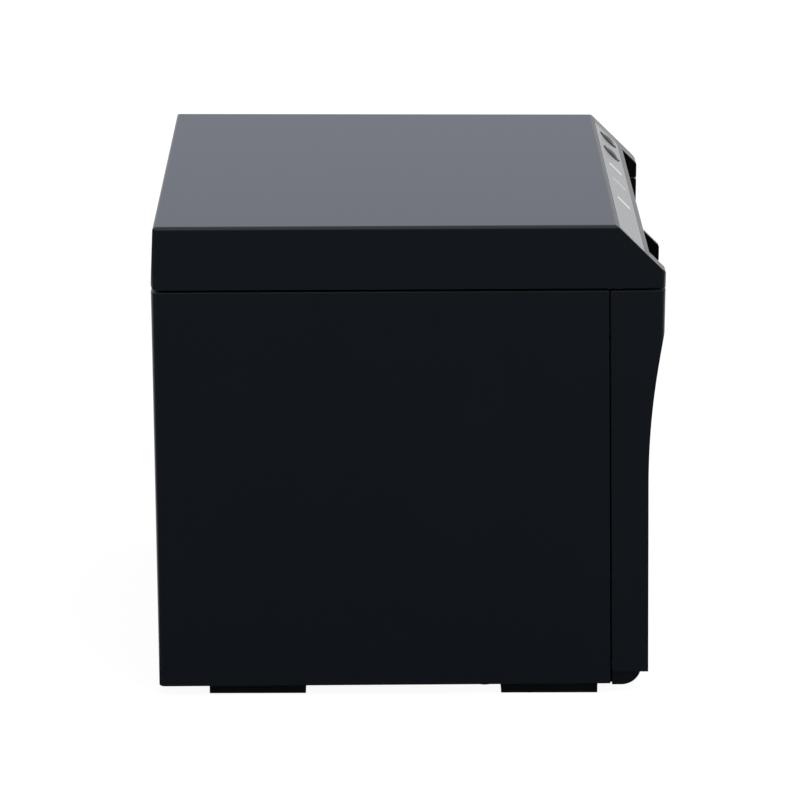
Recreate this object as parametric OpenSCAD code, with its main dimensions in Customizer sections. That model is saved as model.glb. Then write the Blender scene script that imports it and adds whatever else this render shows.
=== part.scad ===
// Desktop receipt printer: front-exit, drop-in roll, lid hinged at the rear.
// The platen roller rides in the lid; the print head, cutter and drive stay in the base.

/* [Overall] */
// Width across the rear of the casing
body_w = 145; // [145:1:152]
// Depth from the front lip to the rear wall
body_d = 155; // [155:1:162]
// Height from the table to the top of the lid
body_h = 151; // [151:1:156]
// How much narrower each side is at the front than at the rear
side_taper = 1.8; // [0:0.1:2]

/* [Lid] */
// Height of the lid, from the parting line to its top
lid_h = 19.6; // [19.6:0.1:20.6]
// Gap at the parting line between lid and casing
lid_gap = 0.8; // [0.6:0.1:1]
// Depth of the sloping control face, seen from above
slope_d = 14.8; // [14.4:0.1:15]

/* [Walls] */
// Wall of the casing and the front cover
wall = 2.5; // [2:0.1:2.6]
// Wall of the lid
lid_wall = 2.2; // [1.8:0.1:2.2]
// Radius of the upright corners
corner_r = 2; // [1:0.5:3]

/* [Paper path] */
// Width of the paper
paper_w = 80; // [58:1:80]
// Distance of the paper's centre from the printer's centre, to the user's right
paper_x = 11; // [10.5:0.5:11]
// Radius of the roll bay
roll_r = 42; // [38:1:42]
// Radius of the platen roller
platen_r = 6; // [5.5:0.5:6]

/* [Controls] */
// Diameter of the two round buttons
button_dia = 6.4; // [6:0.2:8]
// Distance between the two round buttons
button_pitch = 18.5; // [16:0.5:19]
// Travel of the two round buttons
button_travel = 0.8; // [0.4:0.1:0.8]
// Travel of the cover release, along the normal of the slope
release_travel = 2.5; // [1.5:0.5:2.5]

/* [Feet] */
// Height of the rubber feet
foot_h = 3.4; // [3:0.1:3.6]

/* [Hidden] */
$fn = 64;
eps = 0.01;

// ---- outer envelope ----
front_y = -body_d / 2;
rear_y = body_d / 2;
lid_z = body_h - lid_h;
body_top = lid_z - lid_gap;
body_bottom = 3.2;
pan_z = 2.6;
taper_angle = atan(side_taper / body_d);
slope_top_y = front_y + slope_d + 0.2;
slope_foot_z = body_h - slope_d + 0.1;
roof_z = body_h - 2.4;
big = 400;

// ---- front cover contour: a shallow concave waist with a drafted skirt under it ----
waist_y = front_y + 4;
waist_z = 73.6;
waist_r = 240;
skirt_angle = 1.1;
cover_bottom = 7.1;
seam_y0 = front_y + 14.5;
seam_lean = 1.2;
seam_gap = 0.5;

// ---- paper mouth and release recess ----
mouth_left = -64.2;
mouth_split = -40.2;
mouth_right = 62;
mouth_edge_q = 14.3;
mouth_edge = [slope_top_y - mouth_edge_q * cos(45), body_h - mouth_edge_q * sin(45)];
mouth_floor_z = lid_z - 12.5;
cheek_wall = 2;
// The cheeks stand a little above the parting line and close the gap from inside.
cheek_top = body_top + 0.5;

// ---- paper path and mechanism ----
path_z = lid_z - 3.4;
chute_z = path_z - 1.7;
platen_y = front_y + 27.5;
platen_z = path_z + platen_r;
paper_left = paper_x - paper_w / 2;
paper_right = paper_x + paper_w / 2;
frame_left = -33.5;
frame_right = 55.5;
frame_t = 1.5;
frame_floor_z = 84;
frame_front_y = front_y + 17.5;
frame_rear_y = front_y + 41.5;
tower_x = [-26, 46];
tower_y = [front_y + 22.5, front_y + 37.5];
head_pivot = [front_y + 39, path_z - 6];
head_front_y = front_y + 20.5;
head_rear_y = front_y + 36.5;
spring_x = [-2, 36];
spring_y = front_y + 24.5;
bridge_z = path_z - 16;

// ---- gears ----
gear_module = 0.6;
platen_teeth = 24;
idler_teeth = 32;
pinion_teeth = 12;
gear_x = -41;
gear_w = 5;
idler_z = platen_z - gear_module * (platen_teeth + idler_teeth) / 2;
motor_z = idler_z - gear_module * (idler_teeth + pinion_teeth) / 2;

// ---- cutter ----
blade_y = front_y + 14.3;
blade_t = 1;
cutter_module = 0.8;
cutter_teeth = 14;
rack_pitch_y = front_y + 16.9;
cutter_axis = [rack_pitch_y + cutter_module * cutter_teeth / 2, path_z - 24];
rack_x = 9;
rack_w = 4;

// ---- latch ----
latch_axis = [front_y + 13.5, frame_floor_z + 2];
hook_x = [-47, 63];
hook_w = 3;
push_arm_x = -53.5;

// ---- hinge ----
hinge_y = rear_y - 2.8;
hinge_z = lid_z + 3.2;
hinge_ear_x = 45;
hinge_ear_w = 12;
hinge_pin_r = 1.5;

// ---- roll bay ----
bay_y = 22;
bay_floor_z = 45;
bay_half = 41;
deck_z = 126;
deck_t = 2.4;

// ---- rear sockets ----
board_top_z = 13.6;
panel_recess = 2;
// Opening in the rear wall: half its width, then its lower and upper edges.
rear_opening = [50, 10, 36];
// Sockets as [x, width, height], from the power inlet to the drawer socket.
power_size = [-35, 16, 17.4];
usb_size = [-11, 12, 11];
network_size = [13, 16, 13.4];
drawer_size = [36, 14, 12.4];

// ---- colours ----
shell_colour = "#171b21";
shell_dark = "#0d0f12";
panel_colour = "#b4b6b8";
rubber_colour = "#08090a";
steel_colour = "#a9adb1";
bright_colour = "#c8ccd0";
grey_plastic = "#3a3d41";
white_plastic = "#e6e3da";
board_colour = "#1d5a36";

// ================= helpers =================

// Extrudes a profile drawn in (y, z) along X.
module along_x(x0, x1) {
    translate([x0, 0, 0]) rotate([90, 0, 90]) linear_extrude(x1 - x0) children();
}

// A cylinder along X.
module rod_x(x0, x1, y, z, r) {
    translate([x0, y, z]) rotate([0, 90, 0]) cylinder(h = x1 - x0, r = r);
}

// A box from its low corner to its high corner.
module box(lo, hi) {
    translate(lo) cube(hi - lo);
}

function arc(c, r, a0, a1, n) =
    [for (i = [0:n]) let (a = a0 + (a1 - a0) * i / n) c + r * [cos(a), sin(a)]];

// Half the casing's width at depth y.
function half_w(y) = body_w / 2 - side_taper * (rear_y - y) / body_d;

// Plan outline of the casing, set in from the outside, with round corners.
module plan(inset = 0, r = corner_r) {
    cr = rear_y - inset - r;
    cf = front_y + inset + r;
    xr = half_w(cr) - (r + inset) / cos(taper_angle);
    xf = half_w(cf) - (r + inset) / cos(taper_angle);
    side = r * [cos(taper_angle), -sin(taper_angle)];
    right = [[xr, cr + r], [xr, cr] + side, [xf, cf] + side, [xf, cf - r]];
    polygon(concat(right, [for (i = [3:-1:0]) [-right[i][0], right[i][1]]]));
    for (s = [-1, 1]) {
        translate([s * xr, cr]) circle(r);
        translate([s * xf, cf]) circle(r);
    }
}

module plan_prism(z0, z1, inset = 0, r = corner_r) {
    translate([0, 0, z0]) linear_extrude(z1 - z0) plan(inset, r);
}

// Local frame of the control face: +Y runs up the slope and +Z points out of it.
module on_slope() {
    translate([0, slope_top_y, body_h]) rotate([45, 0, 0]) children();
}

// ---- gears: involute flanks, with the tooth thinned for backlash ----
pressure = 20;
function involute(a) = tan(a) * 180 / PI - a;
function flank(r, rb) = involute(acos(min(1, rb / r)));
function tooth_side(m, n, slack, steps) =
    let (rp = m * n / 2, rb = rp * cos(pressure), ra = rp + 0.95 * m, rf = rp - 1.25 * m,
         r0 = max(rb, rf + 0.02), half = 90 / n - slack / 2 / rp * 180 / PI + flank(rp, rb))
    concat([[rf, half - flank(r0, rb)]],
           [for (i = [0:steps]) let (r = r0 + (ra - r0) * i / steps) [r, half - flank(r, rb)]]);

module gear_outline(m, n, phase, slack = 0.12, steps = 4) {
    side = tooth_side(m, n, slack, steps);
    last = len(side) - 1;
    polygon([for (k = [0:n - 1], s = [-1, 1], i = [0:last])
        let (p = s < 0 ? side[i] : side[last - i], a = phase + 360 * k / n + s * p[1])
        p[0] * [cos(a), sin(a)]]);
}

// A spur gear on an X axis; phase turns a tooth away from +Y towards +Z.
module gear_x_axis(x0, w, y, z, m, n, phase) {
    translate([x0, y, z]) rotate([90, 0, 90]) linear_extrude(w) gear_outline(m, n, phase);
}

// A round wire coil on a Z axis, as one swept tube.
module coil(r, wire, turns, pitch, steps = 14, sides = 6) {
    rings = turns * steps;
    points = [for (i = [0:rings], j = [0:sides - 1])
        let (a = 360 * i / steps, b = 360 * j / sides)
        [(r + wire * cos(b)) * cos(a), (r + wire * cos(b)) * sin(a),
         pitch * i / steps + wire * sin(b)]];
    walls = [for (i = [0:rings - 1], j = [0:sides - 1])
        let (k = (j + 1) % sides)
        [i * sides + j, i * sides + k, (i + 1) * sides + k, (i + 1) * sides + j]];
    polyhedron(points, concat(
        [[for (j = [sides - 1:-1:0]) j]], walls, [[for (j = [0:sides - 1]) rings * sides + j]]));
}

// A pan-head screw standing along +Z, its head below the origin.
module pan_screw(shaft_r, length, head_r, head_h) {
    difference() {
        union() {
            cylinder(h = length, r = shaft_r);
            translate([0, 0, -head_h]) cylinder(h = head_h, r = head_r);
        }
        for (a = [0, 90])
            rotate(a) translate([-head_r * 0.6, -0.4, -head_h - eps]) cube([head_r * 1.2, 0.8, head_h / 2]);
    }
}

// ================= casing =================

function seam_y(z) = seam_y0 + (z - 4) * tan(seam_lean);

module seam_cutter(side, shift = 0) {
    far = side * big;
    along_x(-big, big)
        polygon([[seam_y(-big) + shift, -big], [seam_y(big) + shift, big], [far, big], [far, -big]]);
}

// The four casing screws stand in these posts.
screw_posts = [[-63, 68], [63, 68], [-63, -24], [63, -24]];

module hinge_ear(x) {
    along_x(x - hinge_ear_w / 2, x + hinge_ear_w / 2) {
        translate([hinge_y, hinge_z]) circle(2.6);
        translate([hinge_y - 2.6, lid_z - 12]) square([5.2, hinge_z - lid_z + 12]);
    }
}

module main_casing() {
    inner_y = rear_y - wall;
    color(shell_colour) difference() {
        union() {
            difference() {
                plan_prism(body_bottom, body_top);
                plan_prism(body_bottom - 1, body_top + 1, wall, 0.5);
                seam_cutter(-1);
            }
            for (s = [-1, 1]) {
                hinge_ear(s * hinge_ear_x);
                // ledge that carries the bucket's deck
                box([s * 68.5 - 1.8, -34, deck_z - 2.4], [s * 68.5 + 1.8, rear_y - 4, deck_z]);
            }
            for (p = screw_posts)
                intersection() {
                    plan_prism(5.6, 30, 1);
                    translate([p[0], p[1], 5.6]) {
                        cylinder(h = 24.4, r = 3.5);
                        translate([p[0] > 0 ? 0 : -12, -1, 0]) cube([12, 2, 24.4]);
                    }
                }
            // frame round the socket opening
            box([-rear_opening[0] - 4, inner_y - 2.5, rear_opening[1] - 3.5],
                [rear_opening[0] + 4, inner_y + eps, rear_opening[2] + 4]);
        }
        for (s = [-1, 1])
            rod_x(s * hinge_ear_x - 10, s * hinge_ear_x + 10, hinge_y, hinge_z, hinge_pin_r + 0.05);
        for (p = screw_posts)
            translate([p[0], p[1], 0]) cylinder(h = 22, r = 1.5);
        foot_recesses();
        box([-rear_opening[0], rear_y - 10, rear_opening[1]],
            [rear_opening[0], rear_y + 1, rear_opening[2]]);
    }
}

// Front contour in (y, z), set in by d and closed far behind the seam.
function cover_contour(d, z_top, z_bottom) =
    let (cy = waist_y - waist_r, r = waist_r + d,
         a_top = acos((front_y + d - cy) / r),
         y1 = cy + r * cos(skirt_angle), z1 = waist_z - r * sin(skirt_angle))
    concat([[0, z_top], [front_y + d, z_top]],
           arc([cy, waist_z], r, a_top, -skirt_angle, 14),
           [[y1 - (z1 - z_bottom) * tan(skirt_angle), z_bottom], [0, z_bottom]]);

module front_cover() {
    color(shell_colour) difference() {
        union() {
            difference() {
                intersection() {
                    plan_prism(cover_bottom, body_top);
                    along_x(-big, big) polygon(cover_contour(0, body_top, cover_bottom));
                }
                intersection() {
                    plan_prism(0, body_top + 1, wall, 0.5);
                    along_x(-big, big) polygon(cover_contour(wall, body_top + 1, cover_bottom - 1));
                }
                box([mouth_left, front_y - 1, mouth_floor_z], [mouth_right, front_y + wall + 0.2, big]);
            }
            // chute under the paper mouth, ending in a lip just ahead of the cutter
            along_x(mouth_split + 1, mouth_right + 0.1) polygon([
                [front_y, mouth_floor_z - 1], [front_y + 0.6, mouth_floor_z],
                [front_y + 8.4, chute_z], [front_y + 11.6, chute_z],
                [front_y + 11.6, chute_z - 1.8], [front_y + 9.2, chute_z - 1.8],
                [front_y + 2.4, mouth_floor_z - 2.4]]);
            // cheeks at both ends, and the divider between the recess and the mouth
            for (x = [mouth_left - cheek_wall, mouth_split, mouth_right])
                along_x(x, x + cheek_wall) polygon([
                    [front_y + 0.6, mouth_floor_z - 2], [front_y + 0.6, cheek_top],
                    [front_y + 8.4, cheek_top], [front_y + 8.4, mouth_floor_z + 1.4]]);
            release_channel();
            // stiffening ribs inside the wide front wall
            for (x = [-52, -26, 0, 26, 52])
                intersection() {
                    along_x(x - 0.8, x + 0.8) polygon(cover_contour(1, body_top, cover_bottom + 2));
                    box([x - 1, front_y - 1, 0], [x + 1, waist_y + 4.5, waist_z + 30]);
                }
        }
        seam_cutter(1, -seam_gap);
    }
}

// Two guide walls for the release button's pusher, cut to the path of its sloping plate.
module release_channel() {
    y0 = front_y + 4.8;
    y1 = front_y + 9.4;
    rest_z = release_rear[1] - plate_t * sqrt(2) - (release_rear[0] - y1);
    wall_z = rest_z - release_travel * sqrt(2) - 0.3;
    for (x = [pusher_x[0] - 0.3 - 1.7, pusher_x[1] + 0.3])
        along_x(x, x + 1.7) polygon([
            [y0, mouth_floor_z - 1.5], [y1, mouth_floor_z - 1.5], [y1, wall_z],
            [y0, wall_z - (y1 - y0)]]);
    box([pusher_x[0] - 2, front_y + 2, mouth_floor_z - 1.5],
        [pusher_x[1] + 2, y1, mouth_floor_z - 0.2]);
}

foot_x = 64.4;
foot_y = [front_y + 33.5, rear_y - 30.6];
foot_half = [6, 15];

module foot_recesses() {
    for (s = [-1, 1], y = foot_y)
        box([s * foot_x - foot_half[0] - 0.1, y - foot_half[1] - 0.1, 0],
            [s * foot_x + foot_half[0] + 0.1, y + foot_half[1] + 0.1, foot_h]);
}

module base_pan() {
    nose_c = [front_y + 11, 8.6];
    color(shell_dark) difference() {
        union() {
            intersection() {
                plan_prism(pan_z, 5.6, wall + 0.2, 0.5);
                box([-big, seam_y0 - 1, 0], [big, big, 10]);
            }
            intersection() {
                plan_prism(pan_z, cover_bottom, 0.6);
                along_x(-big, big) polygon(concat(
                    [[seam_y0 - 0.6, cover_bottom], [seam_y0 - 0.6, pan_z]],
                    arc(nose_c, 6, 270, 194.5, 10)));
            }
            // towers that carry the print mechanism
            for (x = tower_x) {
                for (y = tower_y)
                    translate([x, y, 5]) cylinder(h = frame_floor_z - 5, r = 4);
                box([x - 1, tower_y[0], 5], [x + 1, tower_y[1], frame_floor_z - 8]);
            }
            // standoffs of the main board
            for (x = board_holes[0], y = board_holes[1])
                translate([x, y, 5]) cylinder(h = 7, r = 3);
        }
        box([-64, seam_y0 - 5.4, 5.6], [64, seam_y0 - 1.2, 10]);
        foot_recesses();
        for (p = screw_posts)
            translate([p[0], p[1], 0]) cylinder(h = 10, r = 1.6);
        for (x = tower_x, y = tower_y)
            translate([x, y, 60]) cylinder(h = 40, r = 1.5);
        // air slots under the main board
        for (i = [-5:5])
            box([i * 7 - 1.2, 8, 0], [i * 7 + 1.2, 40, 10]);
    }
}

module casing_screws() {
    color(steel_colour) for (p = screw_posts)
        translate([p[0], p[1], pan_z]) pan_screw(1.5, 18, 2.9, 1.8);
}

// A ribbed rubber pad seated in its recess of the pan.
module foot(x, y) {
    color(rubber_colour) difference() {
        box([x - foot_half[0], y - foot_half[1], 0], [x + foot_half[0], y + foot_half[1], foot_h]);
        for (i = [-2:2])
            box([x - foot_half[0] + 1, y + i * 5 - 0.5, -1],
                [x + foot_half[0] - 1, y + i * 5 + 0.5, 0.5]);
    }
}

module foot_rear_left() { foot(-foot_x, foot_y[1]); }
module foot_rear_right() { foot(foot_x, foot_y[1]); }
module foot_front_left() { foot(-foot_x, foot_y[0]); }
module foot_front_right() { foot(foot_x, foot_y[0]); }

// ================= roll bay =================

module paper_bucket() {
    x0 = paper_x - bay_half;
    x1 = paper_x + bay_half;
    bay_z = bay_floor_z + roll_r;
    color(grey_plastic) difference() {
        union() {
            // deck with a notch round the mechanism
            difference() {
                box([-68.2, front_y + 19.5, deck_z], [68.2, rear_y - 6, deck_z + deck_t]);
                box([-43, front_y, 0], [frame_right + 1.5, frame_rear_y + 2, big]);
            }
            // trough
            along_x(x0 - 2, x1 + 2) {
                translate([bay_y, bay_z]) circle(roll_r + 2);
                translate([bay_y - roll_r - 2, bay_z]) square([2 * roll_r + 4, deck_z - bay_z + 1]);
            }
            // ribs under the trough
            for (x = [x0 - 2, paper_x - 1, x1])
                box([x, bay_y - 24, bay_floor_z - 8], [x + 2, bay_y + 24, bay_floor_z + 10]);
        }
        along_x(x0, x1) {
            translate([bay_y, bay_z]) circle(roll_r);
            translate([bay_y - roll_r, bay_z]) square([2 * roll_r, big]);
        }
        // paper guide lip at the front edge
        along_x(x0, x1)
            polygon([[bay_y - roll_r - 3, deck_z], [bay_y - roll_r + 1, deck_z - 8],
                     [bay_y - roll_r + 1, big], [bay_y - roll_r - 3, big]]);
        // window of the near-end sensor
        box([x0 - 3, bay_y + 4, bay_floor_z + 16], [x0 + 1, bay_y + 12, bay_floor_z + 20]);
    }
}

module near_end_sensor() {
    x0 = paper_x - bay_half - 2;
    color(shell_dark) difference() {
        box([x0 - 7, bay_y, bay_floor_z + 12], [x0, bay_y + 16, bay_floor_z + 24]);
        box([x0 - 4, bay_y + 4, bay_floor_z + 16], [x0 + 1, bay_y + 12, bay_floor_z + 20]);
    }
}

// ================= print mechanism =================

module frame_plate(x) {
    front = frame_front_y;
    rear = frame_rear_y;
    foot_z = frame_floor_z - 4;
    along_x(x, x + frame_t) difference() {
        polygon([
            [front, frame_floor_z], [front, foot_z], [front - 7.5, foot_z],
            [front - 7.5, foot_z + 11], [front, foot_z + 16], [front, chute_z],
            [front + 3, path_z + 2], [front + 3, platen_z + 2], [platen_y - 5, platen_z + 3],
            [platen_y + 5, platen_z + 3], [platen_y + 7, platen_z + 2], [platen_y + 7, path_z + 2],
            [rear, path_z - 2], [rear, frame_floor_z]]);
        translate([platen_y, platen_z]) circle(4.3);
        translate([platen_y - 4.3, platen_z]) square([8.6, 10]);
        translate(latch_axis) circle(2.55);
        translate(head_pivot) circle(1.5);
        if (x < 0) {
            translate([platen_y, motor_z]) circle(5);
            translate([platen_y, idler_z]) circle(2);
        }
    }
}

module mechanism_frame() {
    color(steel_colour) difference() {
        union() {
            frame_plate(frame_left);
            frame_plate(frame_right - frame_t);
            box([frame_left, frame_front_y, frame_floor_z],
                [frame_right, frame_rear_y, frame_floor_z + frame_t]);
            // bridge that carries the head springs
            box([-14, spring_y - 5, bridge_z - frame_t], [frame_right, spring_y + 5, bridge_z]);
            box([-14, spring_y - 5, frame_floor_z], [-14 + frame_t, spring_y + 5, bridge_z]);
        }
        for (x = tower_x, y = tower_y)
            translate([x, y, frame_floor_z - 4]) cylinder(h = 10, r = 1.5);
    }
}

module head_pivot_shaft() {
    color(bright_colour)
        rod_x(frame_left - 1, frame_right + 1, head_pivot[0], head_pivot[1], 1.5);
}

module head_heatsink() {
    x0 = paper_left - 0.5;
    x1 = paper_right + 0.5;
    base_z = head_pivot[1] - 0.5;
    color("#8f949a") difference() {
        union() {
            box([x0, head_front_y, base_z], [x1, head_rear_y, base_z + 4]);
            for (i = [0:4])
                box([x0, head_front_y + i * 2.6, base_z - 2.9],
                    [x1, head_front_y + i * 2.6 + 1.2, base_z + 0.5]);
            for (x = [paper_left + 6, paper_x - 3, paper_right - 12])
                along_x(x, x + 6) {
                    translate(head_pivot) circle(2.8);
                    translate([head_rear_y - 1, base_z]) square([3.5, 3.3]);
                }
        }
        rod_x(x0 - 5, x1 + 5, head_pivot[0], head_pivot[1], 1.55);
        // seats of the two springs
        for (x = spring_x)
            translate([x, spring_y, base_z - 4.5]) cylinder(h = 3.2, r = 4.6);
    }
}

// Ceramic board with the raised heater line and the cover over its driver chips.
module head_board() {
    z0 = head_pivot[1] + 3.5;
    z1 = z0 + 1.2;
    color(white_plastic) {
        box([paper_left - 0.5, head_front_y + 1, z0], [paper_right + 0.5, head_rear_y - 1, z1]);
        intersection() {
            rod_x(paper_left, paper_right, platen_y, path_z - 0.3 - 4, 4);
            box([paper_left, platen_y - 10, z1 - eps], [paper_right, platen_y + 10, path_z]);
        }
        box([paper_left + 3, head_rear_y - 4.4, z1 - eps], [paper_right - 3, head_rear_y - 1.6, z1 + 0.9]);
    }
}

module head_springs() {
    color(bright_colour) for (x = spring_x) {
        translate([x, spring_y, bridge_z + 0.6]) coil(3.4, 0.55, 5, 1.3);
        translate([x, spring_y, bridge_z]) difference() {
            cylinder(h = 0.6, r = 4);
            translate([0, 0, -1]) cylinder(h = 3, r = 2.6);
        }
    }
}

module paper_sensor() {
    y0 = frame_rear_y + 0.8;
    z0 = path_z - 10;
    color(shell_dark) {
        box([paper_x - 4, y0, z0], [paper_x + 4, y0 + 5.2, z0 + 6.4]);
        box([paper_x - 2, y0 + 1.2, z0 + 6.4 - eps], [paper_x + 2, y0 + 4.2, z0 + 7.6]);
        box([paper_x - 4, y0 + 5.2 - eps, z0], [paper_x + 4, bay_y - roll_r - 2, z0 + 3]);
    }
}

module feed_motor() {
    x0 = frame_left + frame_t;
    color(steel_colour) {
        rod_x(x0, x0 + 1, platen_y, motor_z, 12.5);
        rod_x(x0 + 1, x0 + 15, platen_y, motor_z, 12);
        rod_x(x0 + 15, x0 + 16.5, platen_y, motor_z, 4);
    }
    color(white_plastic)
        box([x0 + 4, platen_y + 8, motor_z - 5], [x0 + 12, platen_y + 14, motor_z + 5]);
}

module motor_pinion() {
    color(white_plastic)
        gear_x_axis(gear_x - 0.5, 6, platen_y, motor_z, gear_module, pinion_teeth, 90);
    color(bright_colour)
        rod_x(gear_x + 5.4, frame_left + frame_t - 0.3, platen_y, motor_z, 1);
}

module idler_gear() {
    color(white_plastic) difference() {
        union() {
            gear_x_axis(gear_x, gear_w, platen_y, idler_z, gear_module, idler_teeth,
                        90 + 180 / idler_teeth);
            rod_x(gear_x - 0.4, gear_x + gear_w + 0.6, platen_y, idler_z, 3.4);
        }
        rod_x(gear_x - 5, gear_x + 10, platen_y, idler_z, 2.05);
        for (a = [0:60:300])
            translate([0, platen_y + 5.6 * cos(a), idler_z + 5.6 * sin(a)])
                rotate([0, 90, 0]) translate([0, 0, gear_x - 1]) cylinder(h = 10, r = 1.3);
    }
}

module idler_stud() {
    color(bright_colour) {
        rod_x(gear_x - 1, frame_left + frame_t, platen_y, idler_z, 2);
        rod_x(gear_x - 2, gear_x - 0.6, platen_y, idler_z, 3);
    }
}

// ================= cutter =================

module cutter_frame() {
    slot_y = [blade_y - 0.3, blade_y + blade_t + 0.3];
    color(steel_colour) difference() {
        union() {
            box([frame_left + 0.5, blade_y - 2, path_z - 22],
                [frame_right - 0.5, frame_front_y, chute_z]);
            box([15, frame_front_y - 2, path_z - 31.5], [41, frame_front_y, path_z - 18]);
            box([15, frame_front_y - 2, path_z - 31.5], [41, frame_front_y + 10, path_z - 30]);
        }
        // slot the blade runs in
        box([frame_left + 2.2, slot_y[0], path_z - 28], [frame_right - 2.2, slot_y[1], big]);
        // room for the rack and its pinion, and for the feed motor
        box([rack_x - 1.5, slot_y[0], path_z - 28], [rack_x + rack_w + 1.5, frame_front_y + 1, path_z - 6]);
        rod_x(frame_left, frame_left + 20, platen_y, motor_z, 13);
        for (x = [-22, 22])
            box([x, blade_y - 3, path_z - 16], [x + 24, blade_y - 1, path_z - 8]);
    }
}

// Guillotine blade with a shallow V edge, and the rack that lifts it.
module moving_blade() {
    x0 = frame_left + 2.5;
    x1 = frame_right - 2.5;
    edge_z = path_z - 2.6;
    pitch = PI * cutter_module;
    root = -cutter_module * 1.3;
    tip = cutter_module * 0.95;
    color(bright_colour) difference() {
        translate([0, blade_y + blade_t, 0]) rotate([90, 0, 0]) linear_extrude(blade_t)
            polygon([[x0, path_z - 17], [x1, path_z - 17], [x1, edge_z], [paper_x, edge_z - 2.8],
                     [x0, edge_z]]);
        for (x = [-16, 38])
            translate([x, blade_y - 1, path_z - 12]) rotate([-90, 0, 0]) cylinder(h = 4, r = 2);
    }
    color(steel_colour) along_x(rack_x, rack_x + rack_w) {
        translate([blade_y, cutter_axis[1] - 13.8])
            square([rack_pitch_y - cutter_module * 1.25 - blade_y, 21.4]);
        for (k = [-5:2])
            translate([rack_pitch_y, cutter_axis[1] + k * pitch])
                polygon([[root, -1.07], [tip, -0.27], [tip, 0.27], [root, 1.07]]);
    }
}

module cutter_motor() {
    y = cutter_axis[0];
    z = cutter_axis[1];
    color("#b39a5a") difference() {
        box([16, y - 4.8, z - 6], [25, y + 4.8, z + 6]);
        rod_x(10, 20, y, z, 1.55);
    }
    color(steel_colour) intersection() {
        rod_x(25, 40, y, z, 6);
        box([24, y - 4.8, z - 7], [41, y + 4.8, z + 7]);
    }
    color(white_plastic) rod_x(40, 41, y, z, 3);
}

module cutter_pinion() {
    color(white_plastic) gear_x_axis(rack_x - 0.5, rack_w + 1, cutter_axis[0], cutter_axis[1],
                                     cutter_module, cutter_teeth, 180 + 180 / cutter_teeth);
    color(bright_colour) rod_x(rack_x - 1.5, 19.8, cutter_axis[0], cutter_axis[1], 1.5);
}

// ================= release and latch =================

// The release is a sloping plate low in its recess, with a pusher that tips the latch bar.
plate_t = 2;
release_rear = [front_y + 7.9, path_z + 2];
release_front_y = front_y + 0.2;
pusher_x = [-56, -50];

module release_button() {
    front_z = release_rear[1] - (release_rear[0] - release_front_y);
    drop = plate_t * sqrt(2);
    color(shell_dark) {
        difference() {
            union() {
                along_x(mouth_left + 0.3, mouth_split - 0.3) polygon([
                    release_rear, [release_front_y, front_z], [release_front_y, mouth_floor_z + 2.1],
                    [release_front_y + 2.5, mouth_floor_z + 2.1],
                    [release_front_y + 2.5, front_z + 2.5 - drop],
                    release_rear + plate_t * [cos(45), -sin(45)]]);
                // ribs for the fingertip
                for (i = [1:4])
                    translate([0, release_rear[0] - i * 1.3, release_rear[1] - i * 1.3])
                        rod_x(mouth_left + 2.5, mouth_split - 2.5, 0, 0, 0.35);
            }
            // notch that the lid's striker passes
            box([hook_x[0] - 0.5, front_y + 6.2, 0], [hook_x[0] + hook_w + 0.5, 0, big]);
        }
        box([pusher_x[0], front_y + 2.5, path_z - 5.6], [pusher_x[1], front_y + 11.2, path_z - 2]);
    }
}

module latch_bar() {
    y = latch_axis[0];
    z = latch_axis[1];
    color(steel_colour) {
        rod_x(-54, 66.5, y, z, 2.5);
        for (x = hook_x) {
            rod_x(x, x + hook_w, y, z, 4.5);
            along_x(x, x + hook_w) polygon([
                [y - 2, z], [y + 2, z], [y + 2, path_z - 3.5], [y + 0.6, path_z - 1.6],
                [y - 1.2, path_z - 1.6], [y - 2, path_z - 4.5]]);
        }
        rod_x(push_arm_x, push_arm_x + hook_w, y, z, 4.5);
        along_x(push_arm_x, push_arm_x + hook_w)
            polygon([[y - 2, z], [y + 2, z], [y + 1, path_z - 2.4], [y - 2, path_z - 2.4]]);
    }
}

module latch_spring() {
    color(bright_colour)
        translate([-43, latch_axis[0], latch_axis[1]]) rotate([0, 90, 0]) coil(3.3, 0.5, 5, 1.1);
}

// ================= electronics =================

// Socket shell: a box with a cavity open to the rear; size is [x, width, height].
module socket(size, depth, cavity_w, cavity_h, cavity_d) {
    y1 = rear_y - panel_recess;
    mid_z = board_top_z + size[2] / 2;
    difference() {
        box([size[0] - size[1] / 2, y1 - depth, board_top_z],
            [size[0] + size[1] / 2, y1, board_top_z + size[2]]);
        box([size[0] - cavity_w / 2, y1 - cavity_d, mid_z - cavity_h / 2],
            [size[0] + cavity_w / 2, y1 + 1, mid_z + cavity_h / 2]);
    }
}

board_holes = [[-50, 50], [-16, 66]];

module main_board() {
    color(board_colour) difference() {
        box([-56, -20, board_top_z - 1.6], [56, rear_y - 7, board_top_z]);
        for (x = board_holes[0], y = board_holes[1])
            translate([x, y, 0]) cylinder(h = 20, r = 1.6);
    }
}

module board_parts() {
    z = board_top_z;
    color(shell_dark) {
        box([-14, 4, z], [10, 28, z + 1.6]);
        box([18, 8, z], [32, 22, z + 1.4]);
        for (x = [-44, -33])
            translate([x, 0, z]) cylinder(h = 16, r = 4.6);
    }
    color(white_plastic) for (i = [0:2])
        box([-24 + i * 22, -18, z], [-8 + i * 22, -12, z + 6.4]);
}

module power_inlet() {
    y1 = rear_y - panel_recess;
    x = power_size[0];
    z = board_top_z + 9;
    color(shell_dark) difference() {
        box([x - power_size[1] / 2, y1 - 13, board_top_z],
            [x + power_size[1] / 2, y1, board_top_z + power_size[2]]);
        translate([x, y1 - 9, z]) rotate([-90, 0, 0]) cylinder(h = 20, r = 6.4);
    }
    color(bright_colour) for (a = [90, 210, 330])
        translate([x + 3 * cos(a), y1 - 9.5, z + 3 * sin(a)])
            rotate([-90, 0, 0]) cylinder(h = 7, r = 0.6);
}

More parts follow.
